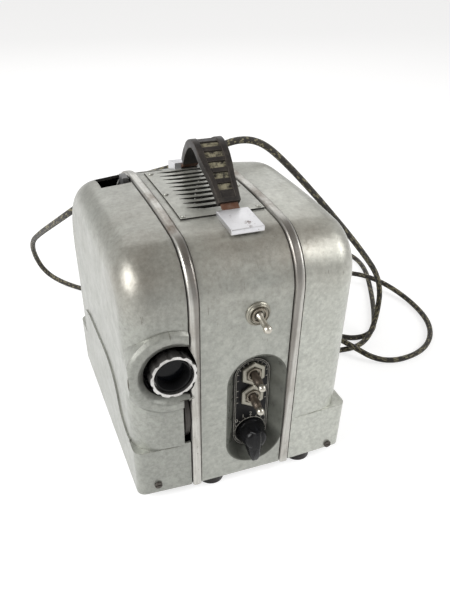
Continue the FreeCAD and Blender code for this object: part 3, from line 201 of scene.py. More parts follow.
def turned(name, profile, sides=ROUND_SIDES):
    """A round solid on the Z axis through (radius, height) pairs, each step one extrusion."""
    radius, height = profile[0]
    bpy.ops.mesh.primitive_circle_add(vertices=sides, radius=radius, fill_type="NGON",
                                      location=(0, 0, height))
    piece = started(name)
    settle(piece)
    edit(piece)
    bpy.ops.mesh.select_all(action="SELECT")
    for (last_radius, last_height), (radius, height) in zip(profile, profile[1:]):
        step = (0, 0, height - last_height)
        bpy.ops.mesh.extrude_region_move(TRANSFORM_OT_translate={"value": step})
        ratio = radius / last_radius
        bpy.ops.transform.resize(value=(ratio, ratio, 1), center_override=(0, 0, height))
    bpy.ops.mesh.select_all(action="SELECT")
    bpy.ops.mesh.normals_make_consistent(inside=False)
    deselect()
    return piece


def aim(piece, spot, turn):
    """Moves a piece modelled on the Z axis to its spot, turned by degrees about X, Y and Z."""
    piece.rotation_euler = Euler([math.radians(angle) for angle in turn])
    piece.location = spot
    settle(piece)


def rounded_copy(node, material, width=0.0, broad=None):
    """The CAD node's shape as one closed mesh with broken edges; broad is (wanted edges, their rounding)."""
    piece = bpy.data.objects.new(node + "_dressed", frame["nodes"][node].data.copy())
    bpy.context.scene.collection.objects.link(piece)
    piece.data.materials.clear()
    edit(piece)
    bpy.ops.mesh.select_all(action="SELECT")
    bpy.ops.mesh.remove_doubles(threshold=MERGE_DISTANCE)
    bpy.ops.mesh.dissolve_limited(angle_limit=math.radians(FLAT_ANGLE))
    if broad:
        pick(piece, "EDGE", broad[0])
        bpy.ops.mesh.bevel(offset=broad[1], segments=4)
    deselect()
    if width:
        soften(piece, width)
    complete(piece, BODY_OF[node], material, (node,))
    modify(piece, "WEIGHTED_NORMAL", keep_sharp=True)
    return piece


def darken_inside(piece):
    """Gives a shell a near-black inner side where it looks towards the casing's middle: dark inner paint,
    made near black as painted shade of the casing's inside.
    """
    low, high = extent("center_casing")
    middle = (low + high) / 2

    def inner(face):
        return face.normal.z < LEDGE_UP and face.normal.dot(middle - face.center) > INSIDE_DISTANCE
    paint(piece, finish("inside"), inner)


# Finish tools
class Pattern:
    """Short ways to add nodes to a node tree and to join them up."""

    def __init__(self, tree):
        self.nodes = tree.nodes
        self.links = tree.links

    def put(self, socket, value):
        """Sets a socket to a number or a colour, or links it to another node's output."""
        if hasattr(value, "is_linked"):
            self.links.new(value, socket)
        else:
            socket.default_value = value

    def add(self, kind, **sockets):
        node = self.nodes.new("ShaderNode" + kind)
        for socket, value in sockets.items():
            self.put(node.inputs[socket.replace("_", " ")], value)
        return node

    def maths(self, kind, first, second=0.0):
        node = self.add("Math")
        node.operation = kind
        self.put(node.inputs[0], first)
        self.put(node.inputs[1], second)
        return node.outputs[0]

    def times(self, first, second):
        return self.maths("MULTIPLY", first, second)

    def axis(self, letter, source):
        return self.add("SeparateXYZ", Vector=source).outputs[letter]


class Finish(Pattern):
    """A material with one principled surface, and its pattern nodes."""

    def __init__(self, name, **sockets):
        self.material = bpy.data.materials.new(name)
        self.material.use_nodes = True
        super().__init__(self.material.node_tree)
        self.surface = self.nodes["Principled BSDF"]
        self.coords = self.add("TexCoord")
        self.spot = self.coords.outputs["Object"]
        for socket, value in sockets.items():
            self.surface.inputs[socket.replace("_", " ")].default_value = value

    def along(self, letter):
        return self.axis(letter, self.spot)

    def turned_spot(self, stretch, turn=(0, 0, 0)):
        turn = [math.radians(angle) for angle in turn]
        return self.add("Mapping", Vector=self.spot, Scale=stretch, Rotation=turn).outputs["Vector"]

    def noise(self, scale, detail=2.0, rough=0.5, spot=None):
        node = self.add("TexNoise", Vector=spot or self.spot, Scale=scale, Detail=detail, Roughness=rough)
        return node.outputs["Fac"]

    def dimples(self, scale):
        node = self.add("TexVoronoi")
        node.feature = "SMOOTH_F1"
        self.put(node.inputs["Vector"], self.spot)
        self.put(node.inputs["Scale"], scale)
        return node.outputs["Distance"]

    def span(self, value, low=0.3, high=0.7, start=0.0, end=1.0):
        """Start where the value is low, end where it is high, and a straight run between them."""
        node = self.add("MapRange", Value=value, From_Min=low, From_Max=high, To_Min=start, To_Max=end)
        return node.outputs["Result"]

    def worn_edge(self, radius, low=0.02, high=0.2):
        """1 on convex and concave edges, from a rounded normal set against the true one."""
        bevel = self.add("Bevel", Radius=radius)
        bevel.samples = 4
        dot = self.add("VectorMath")
        dot.operation = "DOT_PRODUCT"
        self.put(dot.inputs[0], bevel.outputs["Normal"])
        self.put(dot.inputs[1], self.add("NewGeometry").outputs["Normal"])
        return self.span(dot.outputs["Value"], 1 - low, 1 - high)

    def mix(self, amount, first, second):
        """The first colour where the amount is 0, and the second where it is 1."""
        node = self.add("Mix")
        node.data_type = "RGBA"
        self.put(node.inputs["Factor"], amount)
        for socket, value in ((node.inputs[6], first), (node.inputs[7], second)):
            self.put(socket, value if hasattr(value, "is_linked") else (*value[:3], 1.0))
        return node.outputs[2]

    def bump(self, height, distance, strength=1.0, under=None):
        node = self.add("Bump", Height=height, Distance=distance, Strength=strength)
        if under:
            self.put(node.inputs["Normal"], under)
        return node.outputs["Normal"]

    def done(self, colour, roughness=None, normal=None):
        """The finished material, with these patterns on its surface."""
        for socket, value in (("Base Color", colour), ("Roughness", roughness), ("Normal", normal)):
            if value is not None:
                self.put(self.surface.inputs[socket], value)
        return self.material


def shade(colour, factor):
    """A darker or lighter copy of a colour."""
    return tuple(min(1.0, part * factor) for part in colour[:3])


def hammered_enamel(name, colour, stain):
    """Silver-grey hammered paint, browner on top with dirt and a painted reflection, with fine scratches and
    chipped edges.
    """
    f = Finish(name, Metallic=0.5, Coat_Weight=0.15, Coat_Roughness=0.25)
    dimples = f.dimples(430)
    grain = f.noise(1500, 2)
    mottle = f.noise(300, 4, 0.65)
    cloud = f.noise(14, 4, 0.6)
    tone = f.mix(f.span(mottle), shade(colour, 0.8), shade(colour, 1.16))
    tone = f.mix(f.span(f.noise(75, 3, 0.6), 0.5, 0.7, 0.0, 0.35), tone, shade(colour, 1.3))
    tone = f.mix(f.span(grain, 0.35, 0.7, 0.0, 0.25), tone, shade(colour, 0.62))
    # Browner towards the top and at the front knee: partly dirt, partly a painted reflection of the dim brown
    # room above
    height = f.span(f.along("Z"), 0.13, 0.215)
    knee = f.times(f.span(f.along("Z"), 0.165, 0.2), f.span(f.along("Y"), -0.05, -0.085))
    top_dirt_and_reflection = f.maths("ADD", f.times(height, 0.22), f.times(knee, 0.45))
    grime = f.times(f.span(cloud, 0.34, 0.7, 0.25, 0.95), top_dirt_and_reflection)
    tone = f.mix(grime, tone, stain)
    streaks = f.noise(1, 3, 0.6, f.turned_spot((420, 34, 60), (12, 25, 38)))
    scratch = f.times(f.span(streaks, 0.69, 0.72, 0.0, 0.5), f.span(f.noise(22, 2), 0.5, 0.62))
    tone = f.mix(scratch, tone, shade(stain, 0.4))
    specks = f.span(f.noise(420, 3, 0.7), 0.69, 0.73, 0.0, 0.75)
    tone = f.mix(f.times(specks, f.span(f.noise(30, 2), 0.45, 0.62)), tone, (0.06, 0.05, 0.045))
    worn = f.times(f.worn_edge(0.0009), f.span(f.noise(120, 3, 0.7), 0.42, 0.62, 0.0, 0.8))
    tone = f.mix(worn, tone, (0.075, 0.055, 0.042))
    rough = f.span(f.noise(70, 3), 0.3, 0.7, 0.3, 0.44)
    normal = f.bump(dimples, 0.0002, 0.28, f.bump(mottle, 0.00012, 0.3))
    return f.done(tone, rough, normal)


# The bands' painted shade on their side towards the centre casing, where the groove beside them is dark: its
# distance from the middle, the width over which it ends, and by how much it moves outwards for each unit of
# height
BAND_SHADE_SIDE = 0.0348
BAND_SHADE_FADE = 0.0014
BAND_SHADE_LEAN = 0.028


def trim_metal(name, colour, stain):
    """Polished strip gone brown in patches, with painted shade on its side towards the centre casing, and
    edges darkened by dirt and painted shade.
    """
    f = Finish(name, Metallic=0.85)
    run = f.noise(1, 4, 0.7, f.turned_spot((900, 70, 70)))
    patina = f.noise(34, 5, 0.7)
    tone = f.mix(f.span(run), shade(colour, 0.72), colour)
    knee = f.span(f.along("Z"), 0.15, 0.205, 0.25, 0.85)
    tone = f.mix(f.times(f.span(patina, 0.46, 0.68), knee), tone, stain)
    # Painted shade of the groove beside the centre casing, on the band's upright front
    side = f.maths("ABSOLUTE", f.maths("SUBTRACT", f.along("X"), MIDDLE_X))
    lean = f.times(f.along("Z"), BAND_SHADE_LEAN)
    inner = f.span(f.maths("SUBTRACT", side, lean), BAND_SHADE_SIDE, BAND_SHADE_SIDE + BAND_SHADE_FADE, 0.7, 0.0)
    upright = f.span(f.along("Y"), -0.055, -0.085)
    tone = f.mix(f.times(inner, upright), tone, (0.17, 0.155, 0.14))
    pits = f.span(f.noise(520, 3, 0.7), 0.66, 0.72, 0.0, 0.8)
    tone = f.mix(pits, tone, shade(stain, 0.35))
    # Darker along the edges: dirt, and painted shade of the gaps beside the band
    tone = f.mix(f.times(f.worn_edge(0.0006, 0.03, 0.2), 0.5), tone, (0.06, 0.05, 0.04))
    rough = f.span(patina, 0.35, 0.7, 0.26, 0.55)
    return f.done(tone, rough, f.bump(run, 0.00005, 0.4))


def plated(name, colour, stain, pitting=0.6, roughness=0.25):
    """Bright plating with rust pits and dull patches."""
    f = Finish(name, Metallic=0.9)
    dull = f.noise(90, 4, 0.6)
    pits = f.span(f.noise(620, 4, 0.7), 0.74 - 0.14 * pitting, 0.8 - 0.1 * pitting)
    patch = f.span(f.noise(70, 4, 0.75), 0.62, 0.68)
    tone = f.mix(f.span(dull), shade(colour, 0.82), colour)
    tone = f.mix(f.times(pits, f.span(dull, 0.4, 0.6, 0.3, 1.0)), tone, stain)
    tone = f.mix(f.times(patch, pitting), tone, shade(stain, 0.8))
    tone = f.mix(f.times(f.worn_edge(0.0007), f.span(dull, 0.4, 0.6)), tone, shade(stain, 0.6))
    return f.done(tone, f.span(dull, 0.3, 0.7, roughness, roughness + 0.22), f.bump(pits, -0.0001, 0.5))


OIL = (0.05, 0.045, 0.04)


def machined(name, colour, roughness=0.35, metallic=0.9):
    """Turned or milled metal with fine tool marks and a little old oil."""
    f = Finish(name, Metallic=metallic)
    marks = f.noise(1, 2, 0.5, f.turned_spot((2600, 300, 300)))
    oil = f.noise(60, 4, 0.65)
    tone = f.mix(f.span(marks), shade(colour, 0.85), shade(colour, 1.08))
    tone = f.mix(f.span(oil, 0.5, 0.75, 0.0, 0.55), tone, OIL)
    return f.done(tone, f.span(oil, 0.3, 0.7, roughness, roughness + 0.2), f.bump(marks, 0.00002, 0.5))


def dark_paint(name, colour, roughness=0.35, dust=(0.2, 0.18, 0.15), amount=0.25):
    """Dark enamel, anodising or lacquer with dust and rubbed edges."""
    f = Finish(name, Specular_IOR_Level=0.18)
    cloud = f.noise(80, 4, 0.6)
    tone = f.mix(f.span(cloud), shade(colour, 0.8), shade(colour, 1.25))
    tone = f.mix(f.span(f.noise(380, 4, 0.7), 0.5, 0.8, 0.0, amount), tone, dust)
    tone = f.mix(f.times(f.worn_edge(0.0005), 0.45), tone, dust)
    rough = f.span(cloud, 0.3, 0.7, roughness, roughness + 0.18)
    return f.done(tone, rough, f.bump(f.noise(700, 2), 0.00006, 0.3))


# Bluish tint of the scuffs on the black plastic, partly a painted sheen
SCUFF_AND_SHEEN = (0.09, 0.095, 0.13)


def moulded(name, colour):
    """Glossy phenolic plastic with swirls, dust, and scuffs tinted with a painted bluish sheen."""
    f = Finish(name, Specular_IOR_Level=0.16)
    swirl = f.noise(120, 5, 0.65)
    scuff_and_sheen = f.noise(1, 3, 0.6, f.turned_spot((700, 90, 160), (20, 40, 10)))
    tone = f.mix(f.span(swirl, 0.35, 0.7), colour, shade(colour, 1.7))
    tone = f.mix(f.span(scuff_and_sheen, 0.6, 0.75, 0.0, 0.15), tone, SCUFF_AND_SHEEN)
    return f.done(tone, f.span(swirl, 0.3, 0.7, 0.16, 0.3), f.bump(scuff_and_sheen, 0.00004, 0.4))


def rubber(name, colour, dust):
    """Black rubber with dust in its grain and worn, paler ridges."""
    f = Finish(name, Specular_IOR_Level=0.25)
    grain = f.noise(900, 3, 0.6)
    patch = f.noise(110, 4, 0.65)
    tone = f.mix(f.span(grain, 0.35, 0.7), colour, shade(colour, 1.8))
    tone = f.mix(f.span(patch, 0.48, 0.72, 0.0, 0.14), tone, dust)
    tone = f.mix(f.times(f.worn_edge(0.0012, 0.02, 0.3), 0.3), tone, dust)
    return f.done(tone, f.span(patch, 0.3, 0.7, 0.3, 0.5), f.bump(grain, 0.0001, 0.45))


def dusty(name, colour, dust):
    """Rubber floor of a pocket, about half of it under caked dust."""
    f = Finish(name, Roughness=0.8, Specular_IOR_Level=0.2)
    cake = f.noise(260, 4, 0.7)
    grain = f.noise(1200, 3, 0.7)
    tone = f.mix(f.span(cake, 0.38, 0.56), colour, dust)
    tone = f.mix(f.span(grain, 0.45, 0.7, 0.0, 0.5), tone, shade(dust, 0.35))
    return f.done(tone, None, f.bump(cake, 0.0003, 0.5))


def rusty(name, colour, rust):
    """Bare steel under blooms of rust."""
    f = Finish(name, Metallic=0.35)
    bloom = f.noise(150, 5, 0.7)
    fine = f.noise(900, 3, 0.7)
    tone = f.mix(f.span(bloom, 0.38, 0.6), colour, rust)
    tone = f.mix(f.span(fine, 0.55, 0.75), tone, shade(rust, 0.4))
    return f.done(tone, f.span(bloom, 0.3, 0.7, 0.5, 0.8), f.bump(fine, 0.00012, 0.5))


def braid(name, dark, fleck):
    """Woven cotton sleeve: two sets of strands wound both ways, some of them olive."""
    f = Finish(name, Roughness=0.85, Sheen_Weight=0.25)
    along = f.axis("X", f.coords.outputs["UV"])
    around = f.axis("Y", f.coords.outputs["UV"])
    strands = [f.maths("ADD", f.times(along, 480), f.times(around, turns))
               for turns in (8, -8)]
    ridges = [f.maths("PINGPONG", phase, 0.5) for phase in strands]
    over = f.maths("MAXIMUM", ridges[0], ridges[1])
    cell = f.add("CombineXYZ", X=f.maths("FLOOR", strands[0]), Y=f.maths("FLOOR", strands[1]))
    chance = f.add("TexWhiteNoise", Vector=cell.outputs[0])
    stretch = f.times(f.noise(130, 2), 0.7)
    olive = f.span(f.maths("ADD", chance.outputs["Value"], stretch), 0.95, 1.05)
    tone = f.mix(olive, dark, fleck)
    # Painted shade in the grooves between the strands
    tone = f.mix(f.span(over, 0.15, 0.45, 0.7, 0.0), tone, shade(dark, 0.3))
    return f.done(tone, None, f.bump(over, 0.0006, 0.9))


def clear(name, colour, roughness, through):
    """Glass with a faint smear."""
    f = Finish(name, Transmission_Weight=through, IOR=1.5)
    smear = f.noise(140, 3)
    tone = f.mix(f.span(smear), colour, shade(colour, 0.85))
    return f.done(tone, f.span(smear, 0.3, 0.7, roughness, roughness + 0.08))


# Sizes and colours that a user would change
def length(name, description, default):
    return bpy.props.FloatProperty(name=name, description=description, default=default, unit="LENGTH",
                                   precision=5)


def colour(name, description, default):
    return bpy.props.FloatVectorProperty(name=name, description=description, default=default, size=3,
                                         subtype="COLOR", min=0.0, max=1.0)


class ProjectorSizes(bpy.types.PropertyGroup):
    cover_edge: length("Cover edge", "Rounding of the covers' cut edges", 0.0006)
    sheet_edge: length("Sheet edge", "Rounding of thin sheet edges", 0.0002)
    collar_edge: length("Collar edge", "Rounding of the lens collar", 0.0013)
    cord_diameter: length("Cord diameter", "Outer diameter of the braided cord", 0.006)
    cord_length: length("Cord length", "Length of the cord from its boot to its plug", 2.28)
    strap_width: length("Strap width", "Width of the rubber handle strap at its middle", 0.0246)
    strap_end: length("Strap end", "Width of the rubber handle strap at its ends", 0.0166)
    strap_thickness: length("Strap thickness", "Thickness of the rubber handle strap", 0.0058)
    rail_width: length("Rail width", "Width of the strap's side rails", 0.0045)
    rail_height: length("Rail height", "Height of the side rails above the ribs", 0.0006)
    pocket_depth: length("Pocket depth", "Depth of the pockets between the ribs", 0.0014)
    nut_flats: length("Nut size", "Switch nut across its flats", 0.019)
    nut_height: length("Nut height", "Switch nut from its panel to its face", 0.0032)
    round_nut: length("Round nut", "Radius of the upper switch's nut", 0.0094)
    line_width: length("Line width", "Width of the bright lines on the control plate", 0.0004)
    pockets: bpy.props.IntProperty(name="Pockets", description="Pockets across the strap", default=9,
                                   min=3, max=12)


class ProjectorColours(bpy.types.PropertyGroup):
    enamel: colour("Enamel", "Hammered grey paint of the casing and covers", (0.42, 0.43, 0.39))
    # Brown of dirt on the enamel's top, which is also used there as a painted reflection
    grime: colour("Grime", "Brown dirt on the enamel", (0.20, 0.155, 0.115))
    well: colour("Recess", "Dark paint of the control recess", (0.15, 0.155, 0.135))
    trim: colour("Trim", "Metal of the trim bands", (0.60, 0.59, 0.55))
    trim_stain: colour("Trim stain", "Brown patina of the trim bands", (0.19, 0.14, 0.105))
    plating: colour("Plating", "Bright handle caps and nuts", (0.80, 0.80, 0.82))
    rust: colour("Rust", "Rust of plated and steel pieces", (0.115, 0.05, 0.028))
    black: colour("Black", "Plate, knob and switch bodies", (0.012, 0.012, 0.013))
    rubber: colour("Rubber", "Strap and feet", (0.018, 0.016, 0.015))
    dust: colour("Dust", "Dust on the black pieces", (0.17, 0.14, 0.11))
    cord: colour("Cord", "Dark strands of the cord", (0.03, 0.026, 0.02))
    fleck: colour("Fleck", "Olive strands of the cord", (0.20, 0.18, 0.11))
    floor: colour("Floor", "Pale floor and background", (1.0, 1.0, 1.0))


def sizes():
    return bpy.context.scene.projector_sizes


def colours():
    return bpy.context.scene.projector_colours


FINISHES = {}


def finish(name):
    """One of the projector's materials, made when it is first asked for."""
    if name not in FINISHES:
        c = colours()
        makers = {
            "enamel": lambda: hammered_enamel("hammered_grey_enamel", c.enamel, c.grime),
            # Painted shade: the film side cover takes a darker copy of the same enamel
            "painted_shade_enamel": lambda: hammered_enamel("enamel_darkened_as_painted_shade", shade(c.enamel, 0.8), c.grime),
            "trim": lambda: trim_metal("worn_trim_metal", c.trim, c.trim_stain),
            "plating": lambda: plated("pitted_plating", c.plating, c.rust, 0.75, 0.28),
            "nickel": lambda: plated("olive_nickel", (0.36, 0.345, 0.29), c.trim_stain, 0.5, 0.28),
            "ring": lambda: machined("turned_alloy", (0.66, 0.65, 0.63), 0.3),
            # Painted shade: the focus ring's sides are a darker copy of its front's metal
            "ring_side_painted_shade": lambda: machined("alloy_darkened_as_painted_shade", (0.16, 0.155, 0.15), 0.42),
            "wheel": lambda: machined("blackened_steel", (0.07, 0.065, 0.06), 0.4),
            "stalk": lambda: plated("brown_lever", (0.23, 0.19, 0.155), c.trim_stain, 0.4, 0.3),
            "tip": lambda: plated("worn_lever_tip", (0.58, 0.55, 0.48), c.trim_stain, 0.3, 0.22),
            # Near-black inner finish: dark paint that also stands as painted shade inside the casing
            "inside": lambda: dark_paint("dark_inner_paint_and_shade", (0.02, 0.02, 0.019), 0.6, c.dust, 0.1),
            # Painted light: the motor cover takes a lighter copy of the same enamel
            "painted_light_enamel": lambda: hammered_enamel("enamel_lightened_as_painted_light", shade(c.enamel, 1.3), c.grime),
            "catch": lambda: machined("grey_steel", (0.2, 0.2, 0.2), 0.35),
            "bushing": lambda: plated("stained_bushing", (0.3, 0.27, 0.22), c.trim_stain, 0.5, 0.35),
            "pocket": lambda: dusty("dusty_pocket", c.rubber, (0.24, 0.22, 0.15)),
            "steel": lambda: machined("oiled_steel", (0.42, 0.41, 0.40), 0.32),
            "brass": lambda: machined("plain_brass", (0.62, 0.45, 0.18), 0.28),
            "cast": lambda: machined("cast_alloy", (0.5, 0.5, 0.49), 0.5, 0.7),
            "black_metal": lambda: dark_paint("black_anodised", shade(c.black, 0.4), 0.4, (0.03,) * 3, 0.1),
            "well": lambda: dark_paint("dark_recess_enamel", c.well, 0.22, shade(c.enamel, 0.6), 0.1),
            "plate": lambda: dark_paint("satin_black_plate", shade(c.black, 0.7), 0.35, c.dust, 0.12),
            "motor": lambda: dark_paint("motor_enamel", (0.035, 0.045, 0.045), 0.3, c.dust, 0.3),
            "screw": lambda: machined("darkened_steel", (0.10, 0.09, 0.08), 0.4, 0.8),
            "bakelite": lambda: moulded("black_phenolic", shade(c.black, 0.6)),
            "rubber": lambda: rubber("dusty_rubber", c.rubber, c.dust),
            "rust": lambda: rusty("rusty_spring_steel", (0.16, 0.10, 0.07), c.rust),
            "cord": lambda: braid("braided_cotton", c.cord, c.fleck),
            # Painted shade: the lens glass is opaque near-black paint that stands for the dark inside of the
            # barrel
            "glass": lambda: dark_paint("lens_glass_painted_as_dark_bore", (0.004, 0.005, 0.007), 0.05, c.black, 0.0),
            "bulb": lambda: clear("bulb_glass", (0.9, 0.9, 0.88), 0.04, 0.8),
            "mirror": lambda: machined("silvered_glass", (0.85, 0.86, 0.87), 0.04, 1.0),
            "lines": lambda: dark_paint("pale_plate_marks", (0.66, 0.64, 0.57), 0.5, (0.2, 0.19, 0.16), 0.5),
        }
        FINISHES[name] = makers[name]()
    return FINISHES[name]


# Mains cord: the corners of its route from behind the boot to the plug, in millimetres to the right of the
# centre casing's middle, behind the origin and above the floor
CORD_ROUTE = [
    (20, 148, 33), (20, 171, 30), (6, 207, 13), (-24, 235, 3), (-56, 261, 3), (-87, 297, 3), (-106, 313, 15),
    (-115, 311, 41), (-116, 289, 69), (-108, 239, 99), (-97, 180, 132), (-83, 127, 164), (-50, 113, 188),
    (-12, 107, 197), (18, 95, 206), (36, 78, 219), (56, 67, 232), (80, 64, 230), (106, 64, 209),
    (150, 66, 165), (204, 67, 107), (243, 71, 59), (236, 58, 17), (207, 33, 3), (166, 35, 3),
    (126, 45, 3), (105, 81, 3), (108, 115, 3), (128, 137, 3), (157, 133, 3), (172, 107, 3),
    (175, 75, 6), (183, 35, 12), (208, -5, 3), (264, -1, 3), (304, 39, 3), (316, 99, 3),
    (298, 155, 11), (262, 187, 12), (216, 181, 3), (188, 143, 3), (180, 103, 3), (182, 71, 3),
    (201, 49, 3), (230, 52, 3), (252, 83, 3), (284, 143, 3), (310, 201, 3), (312, 245, 3),
    (282, 279, 3), (230, 287, 3), (180, 269, 3), (136, 249, 5), (106, 247, 9), (84, 247, 9),
]


def smooth_line(name, points):
    """A smooth open curve with the points, in millimetres, as its control points."""
    curve = bpy.data.curves.new(name, "CURVE")
    curve.dimensions = "3D"
    spline = curve.splines.new("NURBS")
    spline.points.add(len(points) - 1)
    for point, (x, y, z) in zip(spline.points, points):
        point.co = (x * MM, y * MM, z * MM, 1)
    spline.order_u = 3
    spline.use_endpoint_u = True
    spline.resolution_u = 8
    piece = bpy.data.objects.new(name, curve)
    bpy.context.scene.collection.objects.link(piece)
    return piece


class PROJECTOR_OT_cord(bpy.types.Operator):
    """Lay the braided mains cord along its route and dress its plug"""
    bl_idname = "projector.cord"
    bl_label = "Mains cord and plug"

    def execute(self, context):
        s = sizes()
        route = [(x + MIDDLE_X * TO_MM, y, z) for x, y, z in CORD_ROUTE]
        cord = smooth_line("mains_cord", route)
        cord.data.bevel_depth = s.cord_diameter / 2
        cord.data.bevel_resolution = 4
        cord.data.use_fill_caps = True
        cord.data.materials.append(finish("cord"))
        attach(cord, "base")
        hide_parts("power_cord")
        plug = rounded_copy("cord_plug", finish("bakelite"), ROUND_EDGE)
        pins = rounded_copy("plug_pins", finish("brass"), BROAD_EDGE)
        rounded_copy("cord_gland", finish("rubber"), SOFT_EDGE)
        return {"FINISHED"}


# Sheet pieces: finish, material slot and the edge rounding that they take
SHELLS = {
    "center_casing": ("enamel", "enamel", "sheet"),
    # The film cover's darker enamel is painted shade
    "film_cover": ("painted_shade_enamel", "enamel", "cover"),
    # The motor cover's lighter enamel is painted light
    "motor_cover": ("painted_light_enamel", "enamel", "cover"),
    "vent_panel": ("enamel", "enamel", "sheet"),
    "left_trim_band": ("trim", "band_metal", "sheet"),
    "right_trim_band": ("trim", "band_metal", "sheet"),
    "control_well": ("well", "well_enamel", "sheet"),
    "control_plate": ("plate", "black_plate", "sheet"),
    # Painted shade: the chassis plate takes the near-black inner finish, so that the arm slot reads black
    "chassis_plate": ("inside", "enamel", "sheet"),
    "base_plate": ("steel", "steel", "sheet"),
    "arm_catch": ("catch", "bright", "cover"),
}
# Edges that stand this far before the casing's front are the rim of the lens collar
COLLAR_RIM = 0.0028
# Faces of the vent panel that look up less than this are its underside and its louvres' walls, which get the
# near-black inner finish as painted shade
VENT_TOP = 0.5


class PROJECTOR_OT_shells(bpy.types.Operator):
    """Give the casing, the covers and the trim their soft edges and enamel"""
    bl_idname = "projector.shells"
    bl_label = "Casing and covers"

    def execute(self, context):
        def on_rim(edge):
            return all(corner.co.y < FRONT - COLLAR_RIM for corner in edge.verts)

        pieces = {}
        for node, (kind, slot, edge) in SHELLS.items():
            broad = (on_rim, sizes().collar_edge) if node == "film_cover" else None
            pieces[node] = rounded_copy(node, finish(kind), getattr(sizes(), edge + "_edge"), broad)
        for node in ("center_casing", "film_cover", "motor_cover"):
            darken_inside(pieces[node])
        # Painted shade: the vent panel's underside and louvre walls in the near-black inner finish
        paint(pieces["vent_panel"], finish("inside"), lambda face: face.normal.z < VENT_TOP)
        return {"FINISHED"}


# Handle: depth behind the front face and height above the casing bottom, in millimetres
STRAP_LINE = [(60, 213.6), (66, 218.8), (76, 226.2), (90, 235.6), (98, 240.5), (107, 243.2), (115, 241),
              (123, 236.4), (133.5, 229.3), (142.5, 219.2)]
# Share of the way along the strap, share of the way from its end width to its middle width
STRAP_PLAN = [(0, 0.05), (0.08, 0.15), (0.2, 0.35), (0.3, 0.75), (0.4, 1), (0.62, 1), (0.72, 0.85),
              (0.82, 0.45), (0.92, 0.2), (1, 0.05)]
# Steps along the strap: plain ends, then pockets of two steps with a rib of one step between them
STRAP_MARGIN = 2
POCKET_PITCH = 3
# Strips across the strap: a rail, a slope, the pockets, a slope and a rail
STRIPS = 5
POCKET_SLOPE = 0.0003
STRAP_EDGE = 0.0009
# Share by which a face looks up to be on the strap's top
STRAP_TOP = 0.9
# Points of the strap's middle line between two given ones
LINE_STEPS = 4


def through(points, steps):
    """Points along a smooth line that passes through all the given ones."""
    path = []
    ends = [points[0]] + points + [points[-1]]
    for before, start, end, after in zip(ends, ends[1:], ends[2:], ends[3:]):
        for step in range(steps):
            t = step / steps
            bend = (2 * before - 5 * start + 4 * end - after) * t
            bend += (3 * start - before - 3 * end + after) * t * t
            path.append(start + (end - before + bend) * t / 2)
    return path + [points[-1]]


def between(pairs, spot):
    """The value at a spot, read off straight lines between pairs."""
    for (start, low), (end, high) in zip(pairs, pairs[1:]):
        if spot <= end:
            return low + (high - low) * max(0, spot - start) / (end - start)
    return pairs[-1][1]


